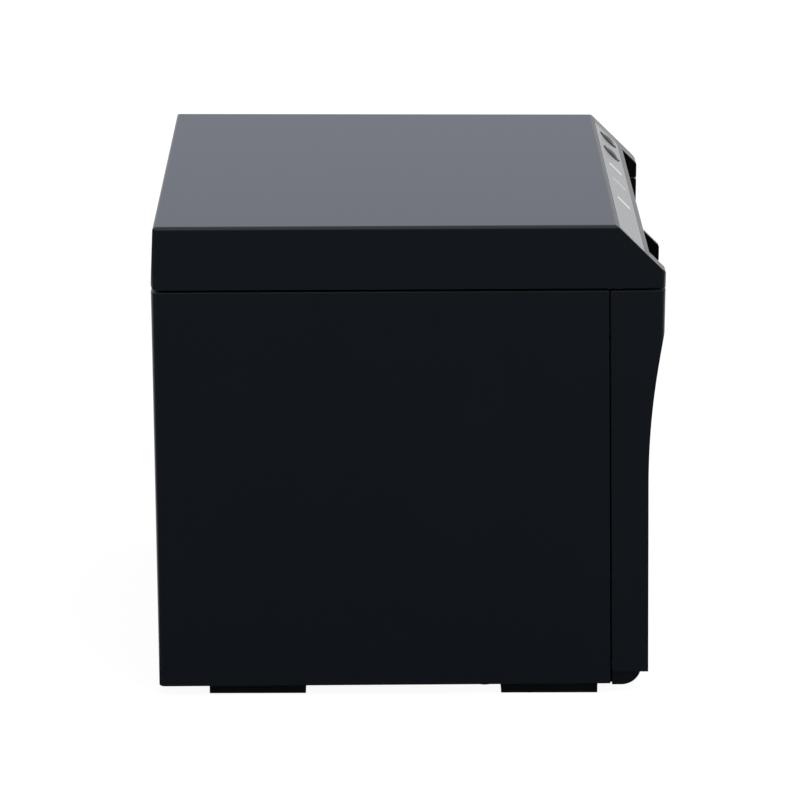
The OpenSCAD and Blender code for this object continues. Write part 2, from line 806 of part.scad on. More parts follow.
module usb_socket() {
    x = usb_size[0];
    y1 = rear_y - panel_recess;
    color(steel_colour) socket(usb_size, 16, 9, 8, 9);
    color(white_plastic) box([x - 2.6, y1 - 10, board_top_z + 4], [x + 2.6, y1 - 3, board_top_z + 6.8]);
}

module network_socket() {
    color(steel_colour) socket(network_size, 21, 12.4, 9, 12);
}

module drawer_socket() {
    color(shell_dark) socket(drawer_size, 16, 10.4, 8, 10);
}

// Sheet behind the rear opening, with one window for each socket.
module socket_plate() {
    y1 = rear_y - wall - 2.5;
    gap = 0.3;
    color(steel_colour) difference() {
        box([-rear_opening[0] - 3, y1 - 1, rear_opening[1] - 3],
            [rear_opening[0] + 3, y1, rear_opening[2] + 3]);
        for (size = [power_size, usb_size, network_size, drawer_size])
            box([size[0] - size[1] / 2 - gap, y1 - 2, board_top_z - gap],
                [size[0] + size[1] / 2 + gap, y1 + 1, board_top_z + size[2] + gap]);
    }
}

// ================= lid =================

slope_foot = [front_y + 0.2, slope_foot_z];

function lid_contour() = concat(
    arc([rear_y - 1.5, lid_z + 1.5], 1.5, -90, 0, 6),
    arc([rear_y - 1.9, body_h - 1], 1, 4, 90, 6),
    [[slope_top_y + 0.5, body_h], [slope_top_y - 0.25, body_h - 0.35],
     slope_foot, [front_y, slope_foot_z - 0.6], [front_y, lid_z]]);

// Rounds the lid's long top edges, which follow the taper of the sides.
module side_edge_cutter() {
    r = 1;
    for (s = [0, 1])
        mirror([s, 0, 0]) translate([half_w(0), 0, body_h]) rotate(-taper_angle)
            translate([-r, 0, -r]) difference() {
                translate([0, -big / 2, 0]) cube([2 * r, big, 2 * r]);
                rotate([90, 0, 0]) cylinder(h = big + 2, r = r, center = true);
            }
}

module lid_solid() {
    intersection() {
        plan_prism(lid_z, body_h);
        along_x(-big, big) polygon(lid_contour());
    }
}

module hinge_boss(x0, x1) {
    along_x(x0, x1) {
        translate([hinge_y, hinge_z]) circle(2.6);
        translate([hinge_y - 2.6, hinge_z]) square([4.6, roof_z - hinge_z + 0.5]);
    }
}

// Posts under the lid's roof, at [x, y], and the x of those behind the control face.
bracket_posts = [[-20, platen_y + 2], [paper_x, platen_y + 2], [42, platen_y + 2]];
liner_posts = [for (x = [-62, 62], y = [-26, 20, 62]) [x, y]];
board_posts = [-32, 7, 45.2];

module lid_shell() {
    skin = lid_wall * sqrt(2);
    inner_front = front_y + lid_wall;
    color(shell_colour) difference() {
        union() {
            difference() {
                lid_solid();
                intersection() {
                    plan_prism(0, roof_z, lid_wall, 0.5);
                    along_x(-big, big) polygon([
                        [rear_y - lid_wall, 0], [rear_y - lid_wall - 0.4, roof_z],
                        [slope_top_y + roof_z - body_h + skin, roof_z],
                        [inner_front, body_h + inner_front - slope_top_y - skin], [inner_front, 0]]);
                }
                // paper mouth
                along_x(mouth_split, mouth_right) polygon([
                    mouth_edge, mouth_edge + [-9, 0], [front_y - 9, 0],
                    [front_y + 11.5, 0], [front_y + 11.5, lid_z + 0.4]]);
                // recess of the release button
                along_x(mouth_left, mouth_split + eps) polygon([
                    mouth_edge, mouth_edge + [-9, 9], [front_y - 9, 0],
                    [front_y + 8.44, 0], [front_y + 8.44, mouth_edge[1] - 3.5],
                    mouth_edge + 3.5 * [1, -1]]);
            }
            // upper wall of the paper mouth
            along_x(mouth_split + 1, mouth_right + 1) polygon([
                mouth_edge, [front_y + 11.5, lid_z + 0.4], [front_y + 11.8, lid_z],
                [front_y + 13.1, lid_z], [front_y + 13.1, lid_z + 1.4],
                [mouth_edge[0] + 2.4, mouth_edge[1] + 0.4], [mouth_edge[0] + 2.4, mouth_edge[1] + 2.3]]);
            // wall behind the release button
            along_x(mouth_left - 1, mouth_split + 1) polygon([
                mouth_edge, mouth_edge + 3.5 * [1, -1], [front_y + 8.44, lid_z],
                [front_y + 10.24, lid_z], [front_y + 10.24, mouth_edge[1] + 2.4],
                [mouth_edge[0] + 2.5, mouth_edge[1] + 2.4]]);
            // cheeks, and the divider between the recess and the mouth
            for (x = [mouth_left - cheek_wall, mouth_split, mouth_right])
                intersection() {
                    lid_solid();
                    box([x, front_y - 1, lid_z], [x + cheek_wall, front_y + 13.2, body_h]);
                }
            // strikers that the latch hooks face
            for (x = hook_x)
                along_x(x, x + hook_w) polygon([
                    [front_y + 8.7, lid_z + 8], [front_y + 8.7, path_z - 5], [front_y + 10, path_z - 6],
                    [front_y + 11.2, path_z - 5], [front_y + 11.2, mouth_edge[1] + 3.5],
                    [front_y + 8.7, mouth_edge[1] + 1]]);
            // hinge bosses either side of each ear
            for (s = [-1, 1]) {
                hinge_boss(s * hinge_ear_x - 12, s * hinge_ear_x - 6.4);
                hinge_boss(s * hinge_ear_x + 6.4, s * hinge_ear_x + 12);
            }
            for (p = bracket_posts)
                translate([p[0], p[1], platen_z + 8.6]) cylinder(h = roof_z - platen_z - 8.1, r = 3);
            for (p = liner_posts)
                translate([p[0], p[1], lid_z + 2]) cylinder(h = roof_z - lid_z - 1.5, r = 3);
            // stiffening ribs under the roof
            for (x = [-62, -31, 0, 31, 62])
                box([x - 0.7, -28, roof_z - 3], [x + 0.7, rear_y - lid_wall, roof_z + 0.5]);
            on_slope() for (x = board_posts)
                translate([x, controls_q, -6.2]) cylinder(h = 4.4, r = 2);
        }
        for (s = [-1, 1]) {
            rod_x(s * hinge_ear_x - 11, s * hinge_ear_x + 11, hinge_y, hinge_z, hinge_pin_r);
            // notch the hinge ear stands in
            box([s * hinge_ear_x - 6.4, hinge_y - 6, 0], [s * hinge_ear_x + 6.4, big, hinge_z + 3.4]);
        }
        for (p = liner_posts)
            translate([p[0], p[1], lid_z + 1]) cylinder(h = 9, r = 1.25);
        on_slope() {
            panel_outline(-0.6, 1, 0);
            control_holes();
            for (x = board_posts)
                translate([x, controls_q, -7]) cylinder(h = 4, r = 0.9);
        }
        side_edge_cutter();
    }
}

// ---- control face: q runs up the slope, and q = 0 is its top edge ----
button_x = [54.5 - button_pitch, 54.5];
light_x = [16, -3.5, -26.5];
controls_q = -6.9;
light_half = [1.2, 2.65];
panel_half = 70.1;
panel_top = 1;
panel_low = 2.2;
panel_corner = 1.2;
board_z = -7.4;
button_foot_z = -3.2;

// Outline of the overlay: a rectangle with round corners, clear of the slope's edges.
module panel_outline(z0, z1, slack) {
    x = panel_half + slack - panel_corner;
    top = -panel_top + slack - panel_corner;
    low = -mouth_edge_q + panel_low - slack + panel_corner;
    translate([0, 0, z0]) linear_extrude(z1 - z0) {
        for (sx = [-x, x], y = [low, top]) translate([sx, y]) circle(panel_corner);
        translate([-x, low - panel_corner]) square([2 * x, top - low + 2 * panel_corner]);
        translate([-x - panel_corner, low]) square([2 * (x + panel_corner), top - low]);
    }
}

// Holes for the buttons and windows, through the overlay and the skin behind it.
module control_holes() {
    for (x = button_x)
        translate([x, controls_q, -4]) cylinder(h = 5, r = button_dia / 2 + 0.3);
    for (x = light_x)
        box([x - light_half[0], controls_q - light_half[1], -4],
            [x + light_half[0], controls_q + light_half[1], 1]);
}

module control_panel() {
    color(panel_colour) on_slope() difference() {
        panel_outline(-0.6, 0, -0.1);
        control_holes();
    }
}

// A crowned cap on a flange that stops it under the skin.
module round_button(x) {
    r = button_dia / 2;
    crown = 0.7;
    dome_r = (r * r + crown * crown) / 2 / crown;
    color(shell_dark) on_slope() translate([x, controls_q, 0]) {
        intersection() {
            translate([0, 0, -2.8]) cylinder(h = 4, r = r);
            translate([0, 0, 0.9 - dome_r]) sphere(dome_r);
        }
        translate([0, 0, button_foot_z]) cylinder(h = 0.7, r = r + 1.2);
    }
}

module feed_button() { round_button(button_x[0]); }
module power_button() { round_button(button_x[1]); }

module status_lights() {
    color("#e8ecef") on_slope() for (x = light_x) {
        box([x - light_half[0], controls_q - light_half[1], -2.6],
            [x + light_half[0], controls_q + light_half[1], -0.05]);
        box([x - light_half[0] - 0.8, controls_q - light_half[1] - 0.8, -3.4],
            [x + light_half[0] + 0.8, controls_q + light_half[1] + 0.8, -2.55]);
    }
}

module panel_board() {
    color(board_colour) on_slope() difference() {
        box([-36, controls_q - 4.1, board_z], [62, controls_q + 4.3, board_z + 1.2]);
        for (x = board_posts)
            translate([x, controls_q, board_z - 1]) cylinder(h = 3, r = 0.9);
    }
}

// Two tact switches under the buttons and three lamps under the windows.
module panel_switches() {
    z0 = board_z + 1.2;
    stem_z = button_foot_z - button_travel - 0.1;
    on_slope() {
        for (x = button_x) {
            color(shell_dark)
                box([x - 3, controls_q - 3, z0], [x + 3, controls_q + 3, stem_z - 0.35]);
            color(white_plastic)
                translate([x, controls_q, stem_z - 0.35 - eps]) cylinder(h = 0.36, r = 1.6);
        }
        color("#d8f0d8") for (x = light_x)
            box([x - 0.8, controls_q - 1, z0], [x + 0.8, controls_q + 1, z0 + 1.1]);
    }
}

// ---- lid underside ----

module lid_liner() {
    color(grey_plastic) difference() {
        union() {
            box([-68.6, -32, lid_z], [68.6, rear_y - 8, lid_z + 2]);
            box([paper_x - bay_half - 5.4, bay_y - 35.4, lid_z],
                [paper_x + bay_half + 5.4, bay_y + 35.4, lid_z + 9.4]);
        }
        // recess over the roll
        box([paper_x - bay_half - 4, bay_y - 34, lid_z - 1], [paper_x + bay_half + 4, bay_y + 34, lid_z + 8]);
        for (p = liner_posts)
            translate([p[0], p[1], lid_z - 1]) cylinder(h = 4, r = 1.3);
    }
}

module liner_screws() {
    color(steel_colour) for (p = liner_posts)
        translate([p[0], p[1], lid_z]) pan_screw(1.25, 8, 2.4, 1.4);
}

module platen_bracket() {
    x0 = frame_left + frame_t + 0.4;
    x1 = frame_right - frame_t - 0.4;
    web_z = platen_z + 7.1;
    low_z = platen_z - 3;
    front = frame_front_y;
    rear = platen_y + 8;
    color(steel_colour) difference() {
        union() {
            along_x(x0, x1) polygon([
                [rear, web_z], [front + 4.5, web_z], [front + 0.8, web_z - 3.7], [front + 0.8, low_z],
                [front - 0.7, low_z], [front - 0.7, web_z - 3.1], [front + 3.9, web_z + 1.5],
                [rear, web_z + 1.5]]);
            for (x = [x0, x1 - frame_t])
                along_x(x, x + frame_t) polygon([
                    [rear, web_z + 1], [rear, low_z], [platen_y + 4, low_z - 2.6],
                    [platen_y - 4, low_z - 2.6], [front, low_z], [front, web_z - 3.6],
                    [front + 4, web_z + 1]]);
        }
        rod_x(x0 - 1, x1 + 1, platen_y, platen_z, 4);
        for (p = bracket_posts)
            translate([p[0], p[1], platen_z - 4]) cylinder(h = 20, r = 1.2);
    }
}

module platen_bushings() {
    color("#d9d2bd") for (x = [frame_left - 0.3, frame_right - 3.6])
        difference() {
            rod_x(x, x + 3.9, platen_y, platen_z, 4);
            rod_x(x - 1, x + 5, platen_y, platen_z, 2.54);
        }
}

module fixed_blade() {
    y1 = frame_front_y - 0.7;
    color(bright_colour) along_x(paper_left - 0.5, paper_right + 0.5)
        polygon([[y1, platen_z + 3], [y1, path_z + 2.2], [y1 - 1.2, path_z + 1.4],
                 [y1 - 1.2, platen_z + 3]]);
}

// Serrated strip along the mouth, for tearing by hand.
module tear_bar() {
    teeth = 34;
    pitch = paper_w / teeth;
    wall_dir = [front_y + 11.5, lid_z + 0.4] - mouth_edge;
    tilt = atan2(wall_dir[1], wall_dir[0]);
    color(bright_colour)
        translate([paper_left, front_y + 11.5, lid_z + 0.4]) rotate([tilt + 90, 0, 0])
            translate([0, -0.6, 0]) rotate([90, 0, 0]) translate([0, 0, -0.6])
                linear_extrude(0.6) polygon(concat(
                    [[0, 4.5], [paper_w, 4.5]],
                    [for (k = [teeth - 1:-1:0]) each
                        [[(k + 1) * pitch, 0.8], [(k + 0.5) * pitch, -0.6], [k * pitch, 0.8]]]));
}

module platen_roller() {
    color("#26282b") difference() {
        rod_x(paper_left - 0.5, paper_right + 0.5, platen_y, platen_z, platen_r);
        rod_x(paper_left - 1, paper_right + 1, platen_y, platen_z, 2.5);
    }
}

module platen_shaft() {
    color(bright_colour) difference() {
        rod_x(gear_x - 1, frame_right + 1.2, platen_y, platen_z, 2.5);
        box([gear_x - 2, platen_y + 1.9, platen_z - 3], [gear_x + gear_w, platen_y + 3, platen_z + 3]);
    }
}

module platen_gear() {
    color(white_plastic) difference() {
        union() {
            gear_x_axis(gear_x, gear_w, platen_y, platen_z, gear_module, platen_teeth, -90);
            rod_x(gear_x, gear_x + gear_w + 1, platen_y, platen_z, 4);
        }
        difference() {
            rod_x(gear_x - 2, gear_x + 10, platen_y, platen_z, 2.5);
            box([gear_x - 2, platen_y + 1.9, platen_z - 3], [gear_x + gear_w, platen_y + 3, platen_z + 3]);
        }
    }
}

module hinge_pin(x) {
    color(bright_colour) rod_x(x - 11, x + 11, hinge_y, hinge_z, hinge_pin_r);
}

module hinge_pin_left() { hinge_pin(-hinge_ear_x); }
module hinge_pin_right() { hinge_pin(hinge_ear_x); }

// ================= assembly =================

main_casing();
front_cover();
base_pan();
casing_screws();
foot_rear_left();
foot_rear_right();
foot_front_left();
foot_front_right();
paper_bucket();
near_end_sensor();
mechanism_frame();
head_pivot_shaft();
head_heatsink();
head_board();
head_springs();
paper_sensor();
feed_motor();
motor_pinion();
idler_gear();
idler_stud();
cutter_frame();
moving_blade();
cutter_motor();
cutter_pinion();
release_button();
latch_bar();
latch_spring();
main_board();
board_parts();
power_inlet();
usb_socket();
network_socket();
drawer_socket();
lid_shell();
lid_liner();
liner_screws();
control_panel();
feed_button();
power_button();
status_lights();
panel_board();
panel_switches();
platen_bracket();
platen_bushings();
fixed_blade();
tear_bar();
platen_roller();
platen_shaft();
platen_gear();
hinge_pin_left();
hinge_pin_right();
socket_plate();
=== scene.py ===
"""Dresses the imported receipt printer: finishes, fitted small pieces, studio and camera."""

import logging
import math
from dataclasses import dataclass, replace
from enum import Enum
from typing import Any, Optional

import bmesh
import bpy
import numpy as np
from mathutils import Matrix


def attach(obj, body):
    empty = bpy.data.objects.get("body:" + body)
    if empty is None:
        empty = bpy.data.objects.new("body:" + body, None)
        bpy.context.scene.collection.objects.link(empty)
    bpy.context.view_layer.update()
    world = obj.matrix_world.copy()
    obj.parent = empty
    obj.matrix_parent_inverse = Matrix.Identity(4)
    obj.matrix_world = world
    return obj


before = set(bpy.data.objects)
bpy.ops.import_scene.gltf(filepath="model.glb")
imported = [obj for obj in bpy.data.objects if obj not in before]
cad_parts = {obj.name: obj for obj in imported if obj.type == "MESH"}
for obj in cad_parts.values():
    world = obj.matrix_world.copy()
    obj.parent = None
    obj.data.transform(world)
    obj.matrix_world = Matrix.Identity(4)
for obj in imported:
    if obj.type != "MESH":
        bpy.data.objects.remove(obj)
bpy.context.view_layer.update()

MM = 0.001
LOG = logging.getLogger("receipt_printer")
Vec = np.ndarray
Corners = tuple[tuple[float, float, float], ...]

# Shares of a noise's range over which a finish's colour and its roughness drift.
COLOUR_BAND = (0.35, 0.65)
SHINE_BAND = (0.3, 0.7)
# Size of the drift in roughness, as a share of the drift in colour.
SHINE_SIZE = 0.6
# A face looks along X when this much of its normal does.
FACING_SHARE = 0.9
BEVEL_SAMPLES = 6


# ---------------------------------------------------------------- helpers

def srgb(code: str) -> tuple[float, float, float, float]:
    """Turns a hex sRGB colour into linear RGBA.

    Args:
        code: Six hex digits with a leading #.

    Returns:
        Linear red, green, blue and an alpha of 1.
    """
    raw = [int(code[i:i + 2], 16) / 255 for i in (1, 3, 5)]
    lin = [c / 12.92 if c <= 0.04045 else ((c + 0.055) / 1.055) ** 2.4 for c in raw]
    return (lin[0], lin[1], lin[2], 1.0)


def add_node(tree: bpy.types.NodeTree, kind: str, settings: Optional[dict[str, Any]] = None,
             links: Optional[dict[Any, bpy.types.NodeSocket]] = None) -> bpy.types.Node:
    """Adds one node, sets its properties and sockets, and links its inputs.

    Args:
        tree: The node tree to add to.
        kind: The node's type name.
        settings: Property or input names with their values.
        links: Input names or indices with the output sockets that feed them.

    Returns:
        The new node.
    """
    node = tree.nodes.new(kind)
    for key, value in (settings or {}).items():
        if isinstance(key, str) and hasattr(node, key):
            setattr(node, key, value)
        else:
            node.inputs[key].default_value = value
    for key, source in (links or {}).items():
        tree.links.new(source, node.inputs[key])
    return node


def new_mesh(name: str, points: Vec, faces: list[tuple[int, ...]] | Vec,
             smooth: bool = True) -> bpy.types.Object:
    """Makes a mesh object at the origin from arrays of points and faces.

    Args:
        name: Name of the piece.
        points: Array of shape (n, 3), in metres.
        faces: Vertex indices of each face.
        smooth: Whether faces are shaded smooth.

    Returns:
        The new object, linked to the scene.
    """
    mesh = bpy.data.meshes.new(name)
    face_list = faces.tolist() if isinstance(faces, np.ndarray) else faces
    mesh.from_pydata(np.asarray(points, float).reshape(-1, 3).tolist(), [], face_list)
    mesh.validate()
    mesh.polygons.foreach_set("use_smooth", np.full(len(mesh.polygons), smooth))
    mesh.update()
    obj = bpy.data.objects.new(name, mesh)
    bpy.context.scene.collection.objects.link(obj)
    return obj


def grid_faces(rows: int, cols: int, wrap_cols: bool, start: int = 0) -> Vec:
    """Quads of a rows by cols grid of points, numbered row by row.

    Args:
        rows: Number of rows of points.
        cols: Number of points in a row.
        wrap_cols: Whether the last column joins the first.
        start: Index of the grid's first point.

    Returns:
        Array of shape (quads, 4).
    """
    last = cols if wrap_cols else cols - 1
    r, c = np.meshgrid(np.arange(rows - 1), np.arange(last), indexing="ij")
    c2 = (c + 1) % cols
    quads = np.stack([r * cols + c, r * cols + c2, (r + 1) * cols + c2, (r + 1) * cols + c], -1)
    return quads.reshape(-1, 4) + start


def revolve(name: str, profile: Vec, axes: Vec, origin: Vec, steps: int = 48) -> bpy.types.Object:
    """A solid of revolution: each profile point (r, h) becomes a circle of radius r at height h.

    Args:
        name: Name of the piece.
        profile: Array (n, 2) of radius and height in metres, from the bottom pole to the top pole.
        axes: Rows are the two directions across the axis and the axis itself.
        origin: Point on the axis at height 0.
        steps: Points round a circle.

    Returns:
        The new object.
    """
    turn = np.linspace(0, 2 * np.pi, steps, endpoint=False)
    ring = np.stack([np.cos(turn), np.sin(turn)], -1)
    inner = profile[1:-1]
    flat = inner[:, None, 0, None] * ring[None] @ axes[:2]
    points = flat + inner[:, None, 1, None] * axes[2] + origin
    poles = np.stack([profile[0, 1] * axes[2] + origin, profile[-1, 1] * axes[2] + origin])
    count = len(inner) * steps
    faces = grid_faces(len(inner), steps, True).tolist()
    nxt = (np.arange(steps) + 1) % steps
    low = np.stack([nxt, np.arange(steps), np.full(steps, count)], -1)
    top = (len(inner) - 1) * steps
    high = np.stack([top + np.arange(steps), top + nxt, np.full(steps, count + 1)], -1)
    return new_mesh(name, np.concatenate([points.reshape(-1, 3), poles]),
                    faces + low.tolist() + high.tolist())


def sweep(name: str, path: Vec, radius: float, sides: int = 12) -> bpy.types.Object:
    """A round wire of constant radius along a path, with flat ends.

    The ring at each point lies across the path's tangent; its two directions come from a
    reference axis made square to the tangent.

    Args:
        name: Name of the piece.
        path: Array (n, 3) of points in metres.
        radius: Radius of the wire in metres.
        sides: Points round the wire.

    Returns:
        The new object.
    """
    tangent = np.gradient(path, axis=0)
    tangent /= np.linalg.norm(tangent, axis=1, keepdims=True)
    across = path - path.mean(axis=0)
    across -= (across * tangent).sum(1, keepdims=True) * tangent
    across /= np.linalg.norm(across, axis=1, keepdims=True) + 1e-12
    other = np.cross(tangent, across)
    turn = np.linspace(0, 2 * np.pi, sides, endpoint=False)
    rings = path[:, None] + radius * (np.cos(turn)[None, :, None] * across[:, None]
                                      + np.sin(turn)[None, :, None] * other[:, None])
    faces = grid_faces(len(path), sides, True).tolist()
    last = (len(path) - 1) * sides
    faces.append(tuple(range(sides))[::-1])
    faces.append(tuple(last + i for i in range(sides)))
    return new_mesh(name, rings.reshape(-1, 3), faces)


def closed_ring(name: str, path: Vec, normal: Vec, radius: float,
                sides: int = 10) -> bpy.types.Object:
    """A closed round wire along a flat loop: a small circle carried round the path.

    Args:
        name: Name of the piece.
        path: Array (n, 3) of the loop's points, without the first one repeated.
        normal: Unit normal of the loop's plane.
        radius: Radius of the wire in metres.
        sides: Points round the wire.

    Returns:
        The new object.
    """
    ahead = np.roll(path, -1, axis=0) - np.roll(path, 1, axis=0)
    ahead /= np.linalg.norm(ahead, axis=1, keepdims=True)
    out = np.cross(ahead, normal)
    turn = np.linspace(0, 2 * np.pi, sides, endpoint=False)
    rings = path[:, None] + radius * (np.cos(turn)[None, :, None] * out[:, None]
                                      + np.sin(turn)[None, :, None] * normal)
    points = np.concatenate([rings, rings[:1]])
    obj = new_mesh(name, points.reshape(-1, 3), grid_faces(len(points), sides, True))
    weld(obj)
    return obj


def rounded_block(name: str, low: Vec, high: Vec, radius: float,
                  steps: int = 4) -> bpy.types.Object:
    """A box with rounded edges: a cube sphere whose points are pushed out to the box's corners.

    A point p on the cube grid goes to clamp(p) + radius * unit(p - clamp(p)), where clamp keeps
    p inside the box shrunk by the radius.

    Args:
        name: Name of the piece.
        low: Low corner in metres.
        high: High corner in metres.
        radius: Edge radius in metres.
        steps: Divisions of each rounded edge.

    Returns:
        The new object.
    """
    low, high = np.asarray(low, float), np.asarray(high, float)
    points: list[Vec] = []
    faces: list[Vec] = []
    count = 0
    for axis in range(3):
        u, v = (axis + 1) % 3, (axis + 2) % 3
        for side in (0, 1):
            lines = []
            for k in (u, v):
                near = low[k] + radius * (1 - np.sin(np.linspace(np.pi / 2, 0, steps + 1)))
                lines.append(np.concatenate([near, (low[k] + high[k]) - near[::-1]]))
            gu, gv = np.meshgrid(lines[0], lines[1], indexing="ij")
            p = np.empty(gu.shape + (3,))
            p[..., u], p[..., v] = gu, gv
            p[..., axis] = high[axis] if side else low[axis]
            core = np.clip(p, low + radius, high - radius)
            out = p - core
            p = core + radius * out / np.linalg.norm(out, axis=-1, keepdims=True)
            quads = grid_faces(gu.shape[0], gu.shape[1], False, count)
            faces.append(quads if side else quads[:, ::-1])
            points.append(p.reshape(-1, 3))
            count += gu.size
    obj = new_mesh(name, np.concatenate(points), np.concatenate(faces))
    weld(obj)
    return obj


def weld(obj: bpy.types.Object, distance: float = 1e-6) -> None:
    """Merges a new piece's doubled points and turns its faces outwards.

    Args:
        obj: The new piece.
        distance: Points closer than this, in metres, become one.
    """
    mesh = bmesh.new()
    mesh.from_mesh(obj.data)
    bmesh.ops.remove_doubles(mesh, verts=mesh.verts, dist=distance)
    bmesh.ops.recalc_face_normals(mesh, faces=mesh.faces)
    mesh.to_mesh(obj.data)
    mesh.free()


# ---------------------------------------------------------------- finishes

class Surface:
    """The sockets that one finish hands to the shader."""

    def __init__(self, tree: bpy.types.NodeTree) -> None:
        """Starts on a tree with the piece's own coordinates."""
        self.tree = tree
        self.place = add_node(tree, "ShaderNodeTexCoord").outputs["Object"]

    def noise(self, size_mm: float, detail: float = 2.0,
              stretch: tuple[float, float, float] = (1, 1, 1)) -> bpy.types.NodeSocket:
        """Noise of a real size.

        Args:
            size_mm: Size of its features.
            detail: Number of finer layers.
            stretch: Factors per axis; one below 1 draws the features out along that axis.

        Returns:
            A value from 0 to 1.
        """
        turned = add_node(self.tree, "ShaderNodeMapping", {"Scale": stretch},
                          {"Vector": self.place}).outputs[0]
        return add_node(self.tree, "ShaderNodeTexNoise",
                        {"Scale": 1 / (size_mm * MM), "Detail": detail, "Roughness": 0.55},
                        {"Vector": turned}).outputs["Fac"]

    def cells(self, size_mm: float) -> bpy.types.NodeSocket:
        """A random value for each cell of a real size.

        Args:
            size_mm: Size of a cell.

        Returns:
            A value from 0 to 1.
        """
        colour = add_node(self.tree, "ShaderNodeTexVoronoi", {"Scale": 1 / (size_mm * MM)},
                          {"Vector": self.place}).outputs["Color"]
        return add_node(self.tree, "ShaderNodeSeparateColor", None, {0: colour}).outputs[0]

    def ramp(self, value: bpy.types.NodeSocket, low: float, high: float,
             to_low: float = 0.0, to_high: float = 1.0) -> bpy.types.NodeSocket:
        """Maps a value from one range to another, clamped.

        Args:
            value: The value.
            low: Start of its range.
            high: End of its range.
            to_low: What the start becomes.
            to_high: What the end becomes.

        Returns:
            The mapped value.
        """
        return add_node(self.tree, "ShaderNodeMapRange",
                        {"From Min": low, "From Max": high, "To Min": to_low, "To Max": to_high},
                        {"Value": value}).outputs[0]

    def blend(self, share: bpy.types.NodeSocket, first: Any, second: Any) -> bpy.types.NodeSocket:
        """Mixes two colours.

        Args:
            share: How much of the second one shows, from 0 to 1.
            first: First colour, an RGBA value or a socket.
            second: Second colour, an RGBA value or a socket.

        Returns:
            The mixed colour.
        """
        node = add_node(self.tree, "ShaderNodeMix", {"data_type": "RGBA"}, {0: share})
        self.feed(node, 6, first)
        self.feed(node, 7, second)
        return node.outputs[2]

    def math(self, kind: str, first: Any, second: Any = 0.0) -> bpy.types.NodeSocket:
        """One arithmetic step on sockets or numbers.

        Args:
            kind: Name of the operation.
            first: First operand.
            second: Second operand.

        Returns:
            The result.
        """
        node = add_node(self.tree, "ShaderNodeMath", {"operation": kind})
        self.feed(node, 0, first)
        self.feed(node, 1, second)
        return node.outputs[0]

    def feed(self, node: bpy.types.Node, index: int, part: Any) -> None:
        """Links a socket to an input, or sets a plain value there.

        Args:
            node: The node.
            index: Number of its input.
            part: A socket or a value.
        """
        if isinstance(part, bpy.types.NodeSocket):
            self.tree.links.new(part, node.inputs[index])
        else:
            node.inputs[index].default_value = part


class Lay(Enum):
    """Which way the marks of making run on a surface."""

    NONE = (1.0, 1.0, 1.0)
    ALONG_X = (0.03, 1.0, 1.0)
    ALONG_Y = (1.0, 0.03, 1.0)
    ALONG_Z = (1.0, 1.0, 0.03)
    ROUND_X = (1.0, 0.05, 0.05)


@dataclass(frozen=True)
class Patch:
    """A box inside which a node has a second finish's colour, shine and metal.

    Attributes:
        low: Low corner in millimetres.
        high: High corner in millimetres.
        other: The finish inside the box.
        facing_x: Whether it keeps to faces that look along X.
    """

    low: tuple[float, float, float]
    high: tuple[float, float, float]
    other: "Finish"
    facing_x: bool = False

    def share(self, on: Surface) -> bpy.types.NodeSocket:
        """1 inside the box and 0 outside it.

        Args:
            on: The surface.

        Returns:
            The product of one comparison per side of the box.
        """
        parts = add_node(on.tree, "ShaderNodeSeparateXYZ", None, {0: on.place}).outputs
        share: Any = 1.0
        for axis in range(3):
            above = on.math("GREATER_THAN", parts[axis], self.low[axis] * MM)
            below = on.math("LESS_THAN", parts[axis], self.high[axis] * MM)
            share = on.math("MULTIPLY", share, on.math("MULTIPLY", above, below))
        if self.facing_x:
            normal = add_node(on.tree, "ShaderNodeNewGeometry").outputs["True Normal"]
            across = add_node(on.tree, "ShaderNodeSeparateXYZ", None, {0: normal}).outputs[0]
            facing = on.math("GREATER_THAN", on.math("ABSOLUTE", across), FACING_SHARE)
            share = on.math("MULTIPLY", share, facing)
        return share


